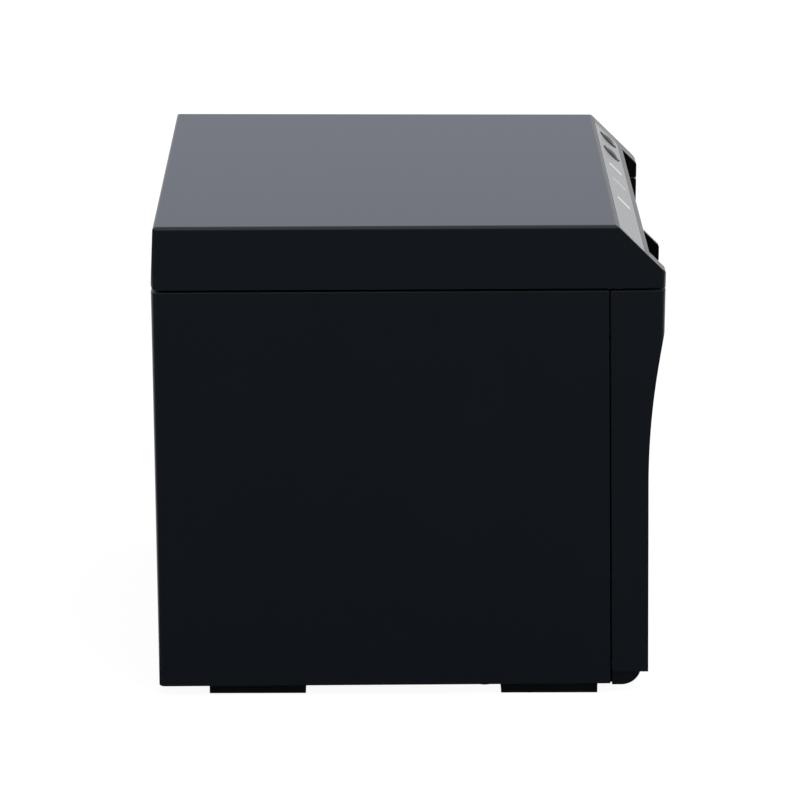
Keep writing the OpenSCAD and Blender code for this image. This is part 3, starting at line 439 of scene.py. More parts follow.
@dataclass(frozen=True)
class Finish:
    """One finish on a Principled surface: slow colour change, grain and relief.

    Attributes:
        name: Name of the material.
        colour: Base colour as sRGB hex.
        tint: The colour it drifts to, as sRGB hex.
        roughness: Mean roughness.
        spread: How far roughness drifts either way.
        metallic: 1 for bare metal.
        ior: Index of refraction; metals keep the default.
        drift_mm: Size of the slow drift.
        grain_mm: Size of the fine grain.
        depth_mm: Height of the fine grain.
        lay: Direction of the grain.
        edge_mm: Radius by which edges are shaded round.
        patch: A box with a second finish.
    """

    name: str
    colour: str
    tint: str
    roughness: float
    spread: float = 0.04
    metallic: float = 0.0
    ior: float = 1.5
    drift_mm: float = 35.0
    grain_mm: float = 0.5
    depth_mm: float = 0.01
    lay: Lay = Lay.NONE
    edge_mm: float = 0.0
    patch: Optional[Patch] = None

    def base(self, on: Surface) -> bpy.types.NodeSocket:
        """The colour over the surface."""
        share = on.ramp(on.noise(self.drift_mm, 3.0), *COLOUR_BAND)
        return on.blend(share, srgb(self.colour), srgb(self.tint))

    def shine(self, on: Surface) -> bpy.types.NodeSocket:
        """The roughness over the surface."""
        return on.ramp(on.noise(self.drift_mm * SHINE_SIZE, 4.0), *SHINE_BAND,
                       self.roughness - self.spread, self.roughness + self.spread)

    def relief(self, on: Surface) -> bpy.types.NodeSocket:
        """The height of the fine grain, from 0 to 1."""
        return on.noise(self.grain_mm, 2.0, self.lay.value)

    def build(self) -> bpy.types.Material:
        """Builds the node material once.

        Returns:
            The material, or the one already built under this name.
        """
        known = bpy.data.materials.get(self.name)
        if known:
            return known
        mat = bpy.data.materials.new(self.name)
        mat.use_nodes = True
        tree = mat.node_tree
        tree.nodes.clear()
        on = Surface(tree)
        colour, shine = self.base(on), self.shine(on)
        settings = {"IOR": self.ior}
        links = {}
        if self.patch:
            inside = self.patch.share(on)
            other = self.patch.other
            colour = on.blend(inside, colour, other.base(on))
            shine = on.ramp(inside, 0, 1, self.roughness, other.roughness)
            links["Metallic"] = on.ramp(inside, 0, 1, self.metallic, other.metallic)
        else:
            settings["Metallic"] = self.metallic
        bump_links = {"Height": self.relief(on)}
        if self.edge_mm:
            bump_links["Normal"] = add_node(
                tree, "ShaderNodeBevel",
                {"samples": BEVEL_SAMPLES, "Radius": self.edge_mm * MM}).outputs[0]
        bump = add_node(tree, "ShaderNodeBump", {"Strength": 1.0, "Distance": self.depth_mm * MM},
                        bump_links)
        links |= {"Base Color": colour, "Roughness": shine, "Normal": bump.outputs[0]}
        shader = add_node(tree, "ShaderNodeBsdfPrincipled", settings, links)
        add_node(tree, "ShaderNodeOutputMaterial", None, {"Surface": shader.outputs[0]})
        return mat


@dataclass(frozen=True)
class PlatedSheet(Finish):
    """Plated sheet: small crystals differ a little in shade and shine.

    Attributes:
        crystal_mm: Size of a crystal.
    """

    crystal_mm: float = 1.8

    def base(self, on: Surface) -> bpy.types.NodeSocket:
        """Each crystal has its own shade between the two colours."""
        return on.blend(on.cells(self.crystal_mm), srgb(self.colour), srgb(self.tint))

    def shine(self, on: Surface) -> bpy.types.NodeSocket:
        """Each crystal has its own shine."""
        return on.ramp(on.cells(self.crystal_mm), 0, 1,
                       self.roughness - self.spread, self.roughness + self.spread)


@dataclass(frozen=True)
class Rubber(Finish):
    """Moulded rubber: matt, with dust in patches.

    Attributes:
        dust: Colour of the dust as sRGB hex.
        dust_mm: Size of a patch.
        dust_band: Share of the noise's range over which dust begins.
        dust_most: How much of the dust shows at most.
    """

    dust: str = "#2b2c2d"
    dust_mm: float = 6.0
    dust_band: tuple[float, float] = (0.56, 0.78)
    dust_most: float = 0.5

    def base(self, on: Surface) -> bpy.types.NodeSocket:
        """Dust gathers in patches over the dark stock."""
        share = on.ramp(on.noise(self.dust_mm, 5.0), *self.dust_band, 0.0, self.dust_most)
        return on.blend(share, super().base(on), srgb(self.dust))


@dataclass(frozen=True)
class SolderMask(Finish):
    """A circuit board: copper tracks show as lighter lines under the mask.

    Attributes:
        track_mm: Distance between two tracks.
        group_mm: Size of a group of tracks.
        group_band: Share of the cells' range over which a group begins.
    """

    track_mm: float = 1.27
    group_mm: float = 9.0
    group_band: tuple[float, float] = (0.3, 0.34)

    def tracks(self, on: Surface) -> bpy.types.NodeSocket:
        """1 on a track: the joints of a field of long bricks, broken up by coarse cells.

        Args:
            on: The surface.

        Returns:
            A value from 0 to 1.
        """
        scale = 1 / (self.track_mm * 4 * MM)
        line = add_node(on.tree, "ShaderNodeTexBrick",
                        {"Scale": scale, "Mortar Size": 0.05, "Mortar Smooth": 0.1,
                         "Brick Width": 1.7, "Row Height": 0.25, "Color1": (0, 0, 0, 1),
                         "Color2": (0, 0, 0, 1), "Mortar": (1, 1, 1, 1)},
                        {"Vector": on.place}).outputs["Color"]
        grey = add_node(on.tree, "ShaderNodeSeparateColor", None, {0: line}).outputs[0]
        return on.math("MULTIPLY", grey, on.ramp(on.cells(self.group_mm), *self.group_band))

    def base(self, on: Surface) -> bpy.types.NodeSocket:
        """Tracks are the lighter colour."""
        return on.blend(self.tracks(on), srgb(self.colour), srgb(self.tint))

    def relief(self, on: Surface) -> bpy.types.NodeSocket:
        """Tracks stand a little proud."""
        return self.tracks(on)


# Injection moulded ABS with a fine spark-eroded texture: near black with a blue cast, satin, so
# that it mirrors its surroundings softly at a low angle. The grain is drawn at 0.3 mm.
SHELL = Finish("moulded ABS shell", "#10161e", "#11171f", 0.33, spread=0.005, ior=1.46,
               drift_mm=60, grain_mm=0.3, depth_mm=0.004, edge_mm=0.25)
# The base pan is coloured a little darker than the casing above it.
BASE_SHELL = Finish("moulded ABS base", "#0c1015", "#0e1217", 0.33, spread=0.005, ior=1.46,
                    grain_mm=0.45, depth_mm=0.004)
# Painted shade: a near-black colour of a low index on the walls of the mouth and of the recess,
# standing in for the shade under the overhang, so that the openings look dark.
PAINTED_SHADE_WALL = Finish("painted shade on mouth walls", "#020203", "#030304", 0.3, ior=1.3, grain_mm=0.6,
                    depth_mm=0.02)
# The shell's faces that look along X inside this box, the walls of the mouth and the recess, get
# the painted shade.
SHELL_WITH_PAINTED_SHADE = replace(SHELL, name="moulded ABS shell with painted shade in the mouth",
                      patch=Patch((-64.4, -79, 118), (62.3, -60, 152), PAINTED_SHADE_WALL, facing_x=True))
# The same plastic, coarser and blacker, on small parts.
DARK = Finish("moulded ABS dark", "#05070a", "#07090c", 0.32, ior=1.42, grain_mm=0.45,
              depth_mm=0.006, edge_mm=0.25)
# Polished ABS of the two caps: dark, with a tight highlight.
CAP = Finish("polished ABS cap", "#0b0d10", "#0e1013", 0.2, spread=0.03, grain_mm=0.6,
             depth_mm=0.002, edge_mm=0.1)
# Grey ABS of the roll bay and the lid's liner, rubbed slightly shiny by paper.
GREY = Finish("moulded ABS grey", "#303336", "#383b3f", 0.5, spread=0.08, grain_mm=0.4,
              depth_mm=0.012, edge_mm=0.3)
# Nitrile rubber of the pads, moulded: nearly black and dull, with a little dust.
PAD = Rubber("moulded rubber", "#020409", "#03060c", 0.42, ior=1.4, grain_mm=0.5, depth_mm=0.01,
             dust="#0c0d0f")
# Ground rubber sleeve of the platen: fine rings round its axis, drawn at 0.3 mm.
PLATEN = Rubber("ground rubber sleeve", "#17181a", "#1d1f21", 0.68, ior=1.52, grain_mm=0.3,
                depth_mm=0.02, lay=Lay.ROUND_X, dust="#3a3b3c")
# Polycarbonate film with a clear gloss face, printed grey on its back and black past the mouth's
# end, where it looks like the bare shell.
FILM_BLACK = Finish("black printed film", "#10161e", "#11171f", 0.3, ior=1.46)
FILM = Finish("printed polycarbonate film", "#5c5f63", "#606367", 0.24, spread=0.02, ior=1.5,
              grain_mm=0.4, depth_mm=0.001, edge_mm=0.15,
              patch=Patch((62.2, -90, 100), (72, -40, 160), FILM_BLACK))
# Opal acrylic of the light windows: a clean pale grey while the lamps are off.
OPAL = Finish("opal acrylic window", "#b8bcc0", "#c2c6ca", 0.18, ior=1.49, grain_mm=0.3,
              depth_mm=0.002)
# The same acrylic with a grey tint, so that the window barely shows while its lamp is off.
SMOKED = replace(OPAL, name="smoked acrylic window", colour="#868789", tint="#8f9092",
                 depth_mm=0.003)
# Cold rolled sheet with bright zinc plating: grey blue crystals, rolled along X.
ZINC = PlatedSheet("zinc plated sheet", "#989c9f", "#b2b5b7", 0.34, spread=0.07, metallic=1.0,
                   grain_mm=0.25, depth_mm=0.004, lay=Lay.ALONG_X, edge_mm=0.12)
# Pressed and tinned socket shells: brighter, with large crystals.
SOCKET_SHELL = PlatedSheet("tinned socket shell", "#a3a6a8", "#b6b9bb", 0.28, spread=0.05,
                           metallic=1.0, grain_mm=0.2, depth_mm=0.003, lay=Lay.ALONG_Y,
                           edge_mm=0.12, crystal_mm=3.0)
# Ground steel: bright, with fine marks round a rod and across a blade. Both are drawn at 0.15 mm.
GROUND_ROD = Finish("ground steel rod", "#b4b8bc", "#c2c6c9", 0.2, metallic=1.0, grain_mm=0.15,
                    depth_mm=0.002, lay=Lay.ROUND_X, edge_mm=0.08)
GROUND_BLADE = Finish("ground steel blade", "#b7bbbe", "#c8cbce", 0.24, metallic=1.0,
                      grain_mm=0.15, depth_mm=0.003, lay=Lay.ALONG_Z, edge_mm=0.06)
# Drawn spring wire: smooth and slightly greyer than the ground steel.
SPRING_WIRE = Finish("drawn spring wire", "#a9adb0", "#b9bcbf", 0.3, metallic=1.0, grain_mm=0.3,
                     depth_mm=0.003)
# Extruded and etched aluminium of the head's heatsink: soft, with die lines along X.
ALUMINIUM = Finish("extruded aluminium", "#9a9da1", "#a8abae", 0.42, metallic=1.0, grain_mm=0.25,
                   depth_mm=0.008, lay=Lay.ALONG_X, edge_mm=0.15)
# Alumina board with a fired glaze: ivory and glossy.
CERAMIC = Finish("glazed alumina board", "#ded9cb", "#e8e4d8", 0.12, ior=1.6, grain_mm=0.8,
                 depth_mm=0.002, edge_mm=0.1)
# Natural acetal of gears and bushings, moulded: waxy off-white.
ACETAL = Finish("moulded acetal", "#dcd8ca", "#e4e1d5", 0.38, ior=1.48, grain_mm=0.4,
                depth_mm=0.004, edge_mm=0.1)
# Natural nylon of connectors, moulded: a colder white and duller.
NYLON = Finish("moulded white nylon", "#e3e1da", "#edebe5", 0.45, ior=1.53, grain_mm=0.4,
               depth_mm=0.005)
# Glass epoxy under green mask: the copper shows as lighter lines that stand a little proud.
BOARD = SolderMask("green solder mask", "#133f26", "#256b41", 0.32, grain_mm=1.0, depth_mm=0.03)
# Hard gold over nickel on contacts: warm and shiny.
GOLD = Finish("gold plated contact", "#c9a04f", "#d8b264", 0.22, metallic=1.0, grain_mm=0.3,
              depth_mm=0.001)
# Glass glaze fired over the heater line: brown and very smooth.
GLAZE = Finish("fired heater glaze", "#4a3f36", "#5a4c40", 0.08, ior=1.6, grain_mm=0.5,
               depth_mm=0.001)

# Nodes that hold two materials: each has the second one inside a box of its own.
# Turned brass gearbox on a zinc plated motor can.
GEAR_MOTOR = Finish("geared motor", "#a98642", "#b9954e", 0.3, metallic=1.0, grain_mm=0.2,
                    depth_mm=0.003, edge_mm=0.12, patch=Patch((25, -70, 80), (40, -30, 120), ZINC))
# Plated can with a nylon connector.
STEPPER = PlatedSheet("stepper motor can", "#989c9f", "#aeb1b3", 0.34, spread=0.05, metallic=1.0,
                      grain_mm=0.25, depth_mm=0.004, lay=Lay.ROUND_X, edge_mm=0.15,
                      patch=Patch((-28.5, -42.2, 98), (-19, -30, 110), NYLON))
# Acetal pinions on ground spindles.
PINION = Finish("acetal pinion on its shaft", "#dcd8ca", "#e4e1d5", 0.38, ior=1.48, grain_mm=0.3,
                depth_mm=0.003, patch=Patch((-35.6, -60, 90), (-30, -40, 120), GROUND_ROD))
CUTTER_PINION = replace(PINION, name="acetal pinion on its spindle",
                        patch=Patch((13.51, -70, 90), (22, -40, 120), GROUND_ROD))
# Black switch bodies and pale lamps.
SWITCHES = Finish("tact switches and lamps", "#14161a", "#191b1f", 0.4, grain_mm=0.3,
                  depth_mm=0.004, patch=Patch((-40, -90, 120), (20, -40, 160), OPAL))
# Black moulded packages and white connectors.
PARTS = Finish("moulded board parts", "#0e1013", "#15171b", 0.38, grain_mm=0.3, depth_mm=0.006,
               edge_mm=0.15, patch=Patch((-30, -18.5, 13.7), (40, -11.5, 21), NYLON))

NODE_FINISHES: dict[Finish, tuple[str, ...]] = {
    SHELL: ("main_casing",),
    BASE_SHELL: ("base_pan",),
    SHELL_WITH_PAINTED_SHADE: ("front_cover", "lid_shell"),
    DARK: ("release_button", "near_end_sensor", "paper_sensor", "power_inlet", "drawer_socket"),
    CAP: ("feed_button", "power_button"),
    GREY: ("paper_bucket", "lid_liner"),
    PAD: ("foot_rear_left", "foot_rear_right", "foot_front_left", "foot_front_right"),
    PLATEN: ("platen_roller",),
    FILM: ("control_panel",),
    OPAL: ("status_lights",),
    ZINC: ("mechanism_frame", "cutter_frame", "platen_bracket", "latch_bar", "casing_screws",
           "liner_screws", "socket_plate"),
    SOCKET_SHELL: ("usb_socket", "network_socket"),
    GROUND_ROD: ("head_pivot_shaft", "idler_stud", "platen_shaft", "hinge_pin_left",
                 "hinge_pin_right"),
    GROUND_BLADE: ("moving_blade", "fixed_blade", "tear_bar"),
    SPRING_WIRE: ("head_springs", "latch_spring"),
    ALUMINIUM: ("head_heatsink",),
    CERAMIC: ("head_board",),
    ACETAL: ("idler_gear", "platen_gear", "platen_bushings"),
    PINION: ("motor_pinion",),
    CUTTER_PINION: ("cutter_pinion",),
    GEAR_MOTOR: ("cutter_motor",),
    STEPPER: ("feed_motor",),
    BOARD: ("main_board", "panel_board"),
    PARTS: ("board_parts",),
    SWITCHES: ("panel_switches",),
}


def dress(obj: bpy.types.Object, finish: Finish) -> None:
    """Gives an object one finish in place of what it has.

    Args:
        obj: The object.
        finish: Its finish.
    """
    obj.data.materials.clear()
    obj.data.materials.append(finish.build())


def dress_nodes() -> None:
    """Gives every CAD node its finish."""
    for finish, names in NODE_FINISHES.items():
        for name in names:
            dress(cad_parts[name], finish)
    LOG.info("%d nodes dressed in %d finishes", len(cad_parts), len(NODE_FINISHES))


def mount(obj: bpy.types.Object, finish: Finish, body: str) -> bpy.types.Object:
    """Finishes a new piece and lets it ride on a body.

    Args:
        obj: The new piece, in place.
        finish: Its finish.
        body: Name of the CAD body it moves with.

    Returns:
        The same object.
    """
    dress(obj, finish)
    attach(obj, body)
    LOG.info("piece %s on %s", obj.name, body)
    return obj


# ---------------------------------------------------------------- fitted pieces

X_AXIS, Y_AXIS, Z_AXIS = np.eye(3)
SLOPE_UP = np.array([0.0, math.sqrt(0.5), math.sqrt(0.5)])
SLOPE_OUT = np.array([0.0, -math.sqrt(0.5), math.sqrt(0.5)])


@dataclass
class ControlFace:
    """The light windows' crowned faces and the two caps' collars on the sloping face.

    Lengths are in millimetres; q is measured down the slope from its top edge.
    """

    top_edge: tuple[float, float] = (-62.5, 151.0)
    middle_q: float = 6.9
    window_x: tuple[float, ...] = (16.0, -3.5, -26.5)
    window_half: tuple[float, float] = (1.9, 3.05)
    window_finish: tuple[Finish, ...] = (OPAL, SMOKED, OPAL)
    window_crown: float = 0.13
    window_sunk: float = 0.04
    window_depth: float = 0.4
    window_steps: int = 17
    numbers_from: float = -40.0
    cap_x: tuple[float, float] = (36.0, 54.5)
    collar_radius: float = 3.62
    collar_wire: float = 0.16
    collar_steps: int = 72

    def centre(self, x: float) -> Vec:
        """The point of the slope on the controls' line at this x, in metres."""
        edge = np.array([x, *self.top_edge])
        return (edge - self.middle_q * SLOPE_UP) * MM

    def window(self, x: float) -> bpy.types.Object:
        """A crowned window: height = crown * (1 - |u|^4) * (1 - |v|^4) - sunk over a rectangle.

        Its rim lies just under the film, and it is numbered by its place in whole millimetres.

        Args:
            x: The window's place across the face.

        Returns:
            The piece.
        """
        steps = self.window_steps
        line = np.sin(np.linspace(-np.pi / 2, np.pi / 2, steps))
        u, v = np.meshgrid(line, line, indexing="ij")
        rise = self.window_crown * (1 - u ** 4) * (1 - v ** 4) - self.window_sunk
        top = (self.centre(x) + MM * (u[..., None] * self.window_half[0] * X_AXIS
                                      + v[..., None] * self.window_half[1] * SLOPE_UP
                                      + rise[..., None] * SLOPE_OUT)).reshape(-1, 3)
        base = top - MM * (rise.reshape(-1, 1) + self.window_depth) * SLOPE_OUT
        faces = grid_faces(steps, steps, False)
        rim = np.concatenate([np.arange(steps), np.arange(2, steps + 1) * steps - 1,
                              steps * steps - 2 - np.arange(steps - 1),
                              np.arange(steps - 2, 0, -1) * steps])
        nxt = np.roll(rim, -1)
        side = np.stack([rim, rim + len(top), nxt + len(top), nxt], -1)
        number = round(x - self.numbers_from)
        obj = new_mesh(f"light_window_{number}", np.concatenate([top, base]),
                       np.concatenate([faces, faces[:, ::-1] + len(top), side]))
        weld(obj)
        return obj

    def collar(self, x: float) -> bpy.types.Object:
        """A fine ring round a cap: a circle of wire, half sunk in the face.

        Args:
            x: The cap's place across the face.

        Returns:
            The piece.
        """
        turn = np.linspace(0, 2 * np.pi, self.collar_steps, endpoint=False)
        path = self.centre(x) + MM * self.collar_radius * (
            np.cos(turn)[:, None] * X_AXIS + np.sin(turn)[:, None] * SLOPE_UP)
        return closed_ring(f"cap_collar_{round(x)}", path, SLOPE_OUT, self.collar_wire * MM)

    def build(self) -> None:
        """Builds the windows and collars and lets them ride on the lid."""
        for x, finish in zip(self.window_x, self.window_finish):
            mount(self.window(x), finish, "lid")
        for x in self.cap_x:
            mount(self.collar(x), DARK, "lid")


@dataclass(frozen=True)
class Bar:
    """Sizes of a small rounded bar in a socket, in millimetres.

    Attributes:
        half: Half its width.
        depth: How far its back and its front lie behind the rear face.
        height: Its underside and its top above the board.
        edge: Radius of its edges.
        steps: Divisions of each edge.
    """

    half: float
    depth: tuple[float, float]
    height: tuple[float, float]
    edge: float
    steps: int


@dataclass
class RearSockets:
    """Pins, tongue and contact wires inside the four sockets of the rear.

    Lengths are in millimetres. Depths are measured in from the rear face, and heights up from the
    board. A socket with wires has its middle, half its height and its number of wires.
    """

    rear_y: float = 75.5
    board_top: float = 13.6
    power_x: float = -35.0
    power_height: float = 9.0
    pin_angles: tuple[float, ...] = (90.0, 210.0, 330.0)
    pin_ring: float = 3.0
    pin_radius: float = 0.64
    pin_length: float = 7.3
    pin_depth: float = 9.1
    usb_x: float = -11.0
    tongue: Bar = Bar(2.75, (10.1, 2.85), (3.9, 6.9), 0.3, 4)
    contact: Bar = Bar(0.5, (8.6, 3.3), (3.82, 3.98), 0.05, 2)
    contact_x: float = 1.25
    contact_lift: float = 3.0
    network: tuple[float, float, int] = (13.0, 6.7, 8)
    drawer: tuple[float, float, int] = (36.0, 6.2, 6)
    wire_pitch: float = 1.02
    wire_radius: float = 0.16
    wire_depth: float = 9.0
    wire_reach: float = 6.8
    wire_top: float = 3.1
    wire_drop: float = 4.4
    wire_bend: float = 0.62

    def pin(self, number: int, x: float, z: float) -> bpy.types.Object:
        """A turned pin with a domed tip: radius * sqrt(1 - t^2) over the last stretch.

        Args:
            number: Its number.
            x: Its place across the rear.
            z: Its height.

        Returns:
            The piece.
        """
        t = np.linspace(0, 1, 9)
        tip = np.stack([self.pin_radius * np.sqrt(1 - t ** 2),
                        self.pin_length - self.pin_radius * (1 - t)], -1)
        profile = np.concatenate([[[0, 0], [self.pin_radius, 0]], tip]) * MM
        axes = np.stack([X_AXIS, -Z_AXIS, Y_AXIS])
        origin = np.array([x, self.rear_y - self.pin_depth, z]) * MM
        return revolve(f"power_pin_{number}", profile, axes, origin, 24)

    def bar(self, name: str, size: Bar, x: float, lift: float = 0.0) -> bpy.types.Object:
        """A rounded bar in the USB socket.

        Args:
            name: Name of the piece.
            size: Its sizes.
            x: Its middle.
            lift: How far it is raised.

        Returns:
            The piece.
        """
        back, front = size.depth
        under, top = size.height
        low = np.array([x - size.half, self.rear_y - back, self.board_top + under + lift])
        high = np.array([x + size.half, self.rear_y - front, self.board_top + top + lift])
        return rounded_block(name, low * MM, high * MM, size.edge * MM, size.steps)

    def wires(self, name: str, x: float, half_h: float, count: int) -> list[bpy.types.Object]:
        """Sprung contact wires: height = top - drop * sin(pi * bend * t)^2 along the depth.

        Each wire leaves the back of the socket and bends down into it, then runs level once
        bend * t has reached a half.

        Args:
            name: Name of the socket.
            x: Middle of the socket.
            half_h: Half the socket's height.
            count: Number of wires.

        Returns:
            One piece per wire.
        """
        t = np.linspace(0, 1, 24)
        y = self.rear_y - self.wire_depth + self.wire_reach * t
        turn = np.pi * np.minimum(t * self.wire_bend, 0.5)
        z = self.board_top + half_h + self.wire_top - self.wire_drop * np.sin(turn) ** 2
        made = []
        for i in range(count):
            across = x + (i - (count - 1) / 2) * self.wire_pitch
            path = np.stack([np.full_like(t, across), y, z], -1) * MM
            made.append(sweep(f"{name}_contact_{i + 1}", path, self.wire_radius * MM, 8))
        return made

    def build(self) -> None:
        """Builds the pieces and lets them ride on the base."""
        middle = self.board_top + self.power_height
        for i, angle in enumerate(np.radians(self.pin_angles)):
            pin = self.pin(i + 1, self.power_x + self.pin_ring * math.cos(angle),
                           middle + self.pin_ring * math.sin(angle))
            mount(pin, SOCKET_SHELL, "base")
        mount(self.bar("usb_tongue", self.tongue, self.usb_x), NYLON, "base")
        for row, lift in ((3, self.contact_lift), (1, 0.0)):
            for column in (1, 3):
                x = self.usb_x + (column - 2) * self.contact_x
                mount(self.bar(f"usb_contact_{row}_{column}", self.contact, x, lift),
                      GOLD, "base")
        for name, (x, half_h, count) in (("network", self.network), ("drawer", self.drawer)):
            for wire in self.wires(name, x, half_h, count):
                mount(wire, GOLD, "base")


@dataclass
class PrintHead:
    """The heater line's glaze on the crest of the head board, with lengths in millimetres."""

    x: tuple[float, float] = (-28.6, 50.6)
    crest: tuple[float, float] = (-50.0, 127.7)
    bead: tuple[float, float] = (0.75, 0.07)
    bead_depth: float = 0.35

    def build(self) -> None:
        """A low bead along the crest: an arch z = height * (1 - t^2) carried along X."""
        t = np.linspace(-1, 1, 13)
        arch = np.stack([self.crest[0] + self.bead[0] * t,
                         self.crest[1] + self.bead[1] * (1 - t ** 2)], -1)
        under = arch[::-1] - [0, self.bead_depth]
        loop = np.concatenate([arch, under])
        ends = np.array(self.x)
        points = np.stack([np.concatenate([np.full((len(loop), 1), e), loop], -1) for e in ends])
        faces = grid_faces(2, len(loop), True).tolist()
        faces += [tuple(range(len(loop))), tuple(range(2 * len(loop) - 1, len(loop) - 1, -1))]
        obj = new_mesh("heater_line", points.reshape(-1, 3) * MM, faces)
        weld(obj)
        mount(obj, GLAZE, "print_head")


# ---------------------------------------------------------------- studio

def glow(name: str, colour: tuple[float, float, float]) -> bpy.types.Material:
    """A plain glowing material for a card.

    Args:
        name: Name of the material.
        colour: Its light, linear.

    Returns:
        The material.
    """
    mat = bpy.data.materials.new(name)
    mat.use_nodes = True
    tree = mat.node_tree
    tree.nodes.clear()
    shine = add_node(tree, "ShaderNodeEmission", {"Color": (*colour, 1.0)})
    add_node(tree, "ShaderNodeOutputMaterial", None, {"Surface": shine.outputs[0]})
    return mat


@dataclass(frozen=True)
class Lamp:
    """One soft square lamp: its name, place and size in metres, and power in watts."""

    name: str
    place: tuple[float, float, float]
    size: float
    power: float


@dataclass
class Studio:
    """White set: pale floor and surround, cards that only gloss sees, and soft lamps.

    Lengths are in metres, and the light of a card is linear.
    """

    floor_half: float = 6.0
    floor_low: float = -0.0002
    floor_grey: tuple[float, float, float, float] = (0.9, 0.9, 0.9, 1.0)
    floor_glow: float = 1.1
    floor_share: float = 0.85
    fill: float = 0.55
    dark: tuple[float, float, float] = (0.0072, 0.0118, 0.0185)
    cool: tuple[float, float, float] = (0.89, 0.94, 1.08)
    dark_card: Corners = ((-4.5, -3, -0.0001), (-0.05, -3, -0.0001), (-0.05, 3, -0.0001),
                          (-4.5, 3, -0.0001))
    dark_wall: Corners = ((-2.6, -2, 0), (-2.6, 2, 0), (-2.6, 2, 0.4), (-2.6, -2, 0.4))
    cool_wall: Corners = ((3, -0.75, 0.45), (3, 3, 0.45), (3, 3, 2.4), (3, -0.75, 2.4))
    lamp_aim: tuple[float, float, float] = (0.0, 0.0, 0.07)
    lamp_set: tuple[Lamp, ...] = (Lamp("key", (-0.5, -0.55, 1.5), 1.2, 9.0),
                                  Lamp("front", (0.25, -1.5, 0.7), 1.0, 5.4))

    def build(self) -> None:
        """Builds floor, world, cards and lamps."""
        self.world()
        self.floor()
        self.card("dark_card", self.dark_card, self.dark)
        self.card("dark_wall", self.dark_wall, self.dark)
        self.card("cool_wall", self.cool_wall, self.cool)
        self.lamps()
        LOG.info("studio with 3 cards and %d lamps", len(self.lamp_set))

    def world(self) -> None:
        """White surround for camera, gloss and glass; a dimmer fill for diffuse light."""
        world = bpy.data.worlds.new("white surround")
        bpy.context.scene.world = world
        world.use_nodes = True
        tree = world.node_tree
        tree.nodes.clear()
        strength = add_node(tree, "ShaderNodeMapRange", {"To Min": self.fill, "To Max": 1.0},
                            {"Value": self.seen_ray(tree)})
        back = add_node(tree, "ShaderNodeBackground", {"Color": (1, 1, 1, 1)},
                        {"Strength": strength.outputs["Result"]})
        add_node(tree, "ShaderNodeOutputWorld", None, {"Surface": back.outputs["Background"]})

    @staticmethod
    def seen_ray(tree: bpy.types.NodeTree) -> bpy.types.NodeSocket:
        """1 for camera, glossy and transmitted rays, and 0 for the rest.

        Args:
            tree: The node tree to add to.

        Returns:
            The value.
        """
        path = add_node(tree, "ShaderNodeLightPath").outputs
        first = add_node(tree, "ShaderNodeMath", {"operation": "MAXIMUM"},
                         {0: path["Is Camera Ray"], 1: path["Is Glossy Ray"]})
        both = add_node(tree, "ShaderNodeMath", {"operation": "MAXIMUM"},
                        {0: first.outputs[0], 1: path["Is Transmission Ray"]})
        return both.outputs[0]

    def floor(self) -> None:
        """A pale floor that shows white and keeps a faint share of the shadow."""
        h, low = self.floor_half, self.floor_low
        plate = new_mesh("floor", np.array([[-h, -h, low], [h, -h, low], [h, h, low],
                                            [-h, h, low]]), [(0, 1, 2, 3)], smooth=False)
        mat = bpy.data.materials.new("pale floor")
        mat.use_nodes = True
        tree = mat.node_tree
        tree.nodes.clear()
        matt = add_node(tree, "ShaderNodeBsdfDiffuse", {"Color": self.floor_grey})
        white = add_node(tree, "ShaderNodeEmission",
                         {"Color": (1, 1, 1, 1), "Strength": self.floor_glow})
        share = add_node(tree, "ShaderNodeMath", {"operation": "MULTIPLY", 1: self.floor_share},
                         {0: self.seen_ray(tree)})
        both = add_node(tree, "ShaderNodeMixShader", None,
                        {0: share.outputs[0], 1: matt.outputs[0], 2: white.outputs[0]})
        add_node(tree, "ShaderNodeOutputMaterial", None, {"Surface": both.outputs[0]})
        plate.data.materials.append(mat)

    def card(self, name: str, corners: Corners, colour: tuple[float, float, float]) -> None:
        """A glowing card that only reflections see.

        Args:
            name: Name of the card.
            corners: Its four corners in metres.
            colour: Its light, linear.
        """
        card = new_mesh(name, np.array(corners), [(0, 1, 2, 3)], smooth=False)
        card.data.materials.append(glow(f"{name} light", colour))
        card.visible_camera = False
        card.visible_diffuse = False
        card.visible_shadow = False
        card.visible_transmission = False

    def lamps(self) -> None:
        """Hangs the lamps, aimed at the middle of the part and unseen in gloss."""
        for lamp in self.lamp_set:
            data = bpy.data.lights.new(lamp.name, "AREA")
            data.energy = lamp.power
            data.size = lamp.size
            obj = bpy.data.objects.new(lamp.name, data)
            place = np.array(lamp.place)
            obj.matrix_world = look_matrix(place, np.array(self.lamp_aim) - place)
            obj.visible_glossy = False
            bpy.context.scene.collection.objects.link(obj)


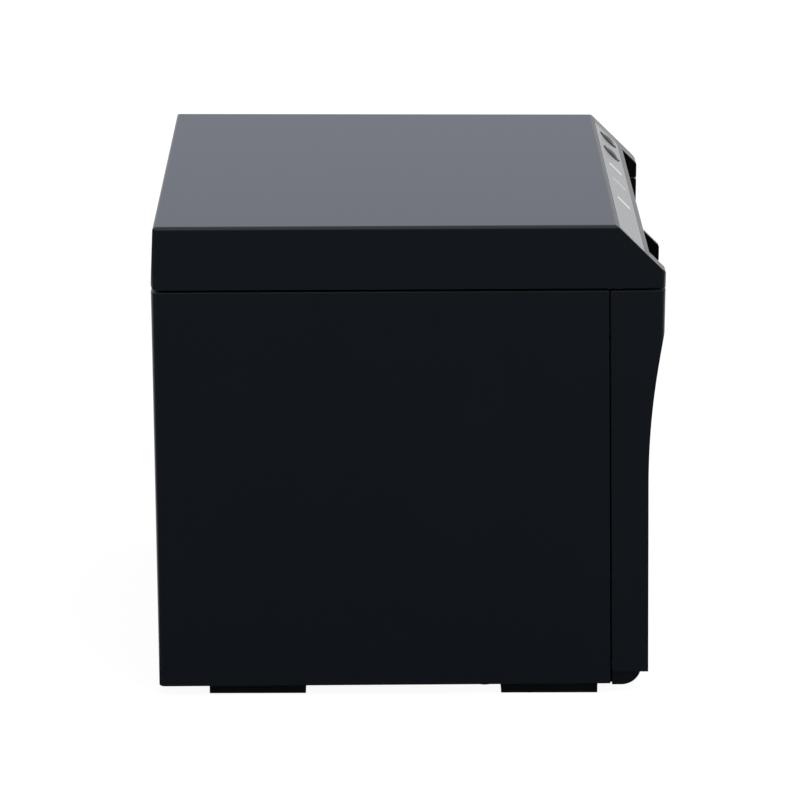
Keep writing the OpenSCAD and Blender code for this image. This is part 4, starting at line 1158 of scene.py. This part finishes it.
def look_matrix(place: Vec, aim: Vec) -> Matrix:
    """Matrix of a camera or lamp at a place, looking along a direction with +Z up.

    Args:
        place: Where it stands.
        aim: The direction it looks in.

    Returns:
        A 4x4 matrix whose -Z axis is the direction.
    """
    back = -aim / np.linalg.norm(aim)
    right = np.cross([0, 0, 1], back)
    right /= np.linalg.norm(right)
    up = np.cross(back, right)
    full = np.eye(4)
    full[:3, 0], full[:3, 1], full[:3, 2], full[:3, 3] = right, up, back, place
    return Matrix(full.tolist())


@dataclass
class Viewpoint:
    """The camera: a long lens at the printer's left, above the height of the lid.

    Attributes:
        place_mm: Where it stands, in millimetres.
        pitch_deg: How far it looks down.
        yaw_deg: How far it turns towards the front.
        focal_px: Focal length in pixels of the frame.
        frame_px: Width of the frame in pixels.
        sensor_mm: Width of the sensor.
        clip_m: Farthest distance that it draws.
    """

    place_mm: tuple[float, float, float] = (-1118.40, 9.04, 438.26)
    pitch_deg: float = 18.082
    yaw_deg: float = 0.354
    focal_px: float = 3629.5
    frame_px: float = 800.0
    sensor_mm: float = 36.0
    clip_m: float = 50.0

    def build(self) -> None:
        """Creates the camera and makes it the scene's."""
        data = bpy.data.cameras.new("camera")
        data.sensor_width = self.sensor_mm
        data.lens = self.focal_px / self.frame_px * self.sensor_mm
        data.clip_end = self.clip_m
        cam = bpy.data.objects.new("camera", data)
        pitch, yaw = math.radians(self.pitch_deg), math.radians(self.yaw_deg)
        aim = np.array([math.cos(pitch) * math.cos(yaw), -math.cos(pitch) * math.sin(yaw),
                        -math.sin(pitch)])
        cam.matrix_world = look_matrix(np.array(self.place_mm) * MM, aim)
        bpy.context.scene.collection.objects.link(cam)
        bpy.context.scene.camera = cam


def main() -> None:
    """Builds the camera, the studio and every piece."""
    logging.basicConfig(level=logging.INFO, format="%(message)s")
    bpy.context.scene.view_settings.view_transform = "Standard"
    Viewpoint().build()
    Studio().build()
    dress_nodes()
    ControlFace().build()
    RearSockets().build()
    PrintHead().build()


if __name__ == "__main__":
    main()
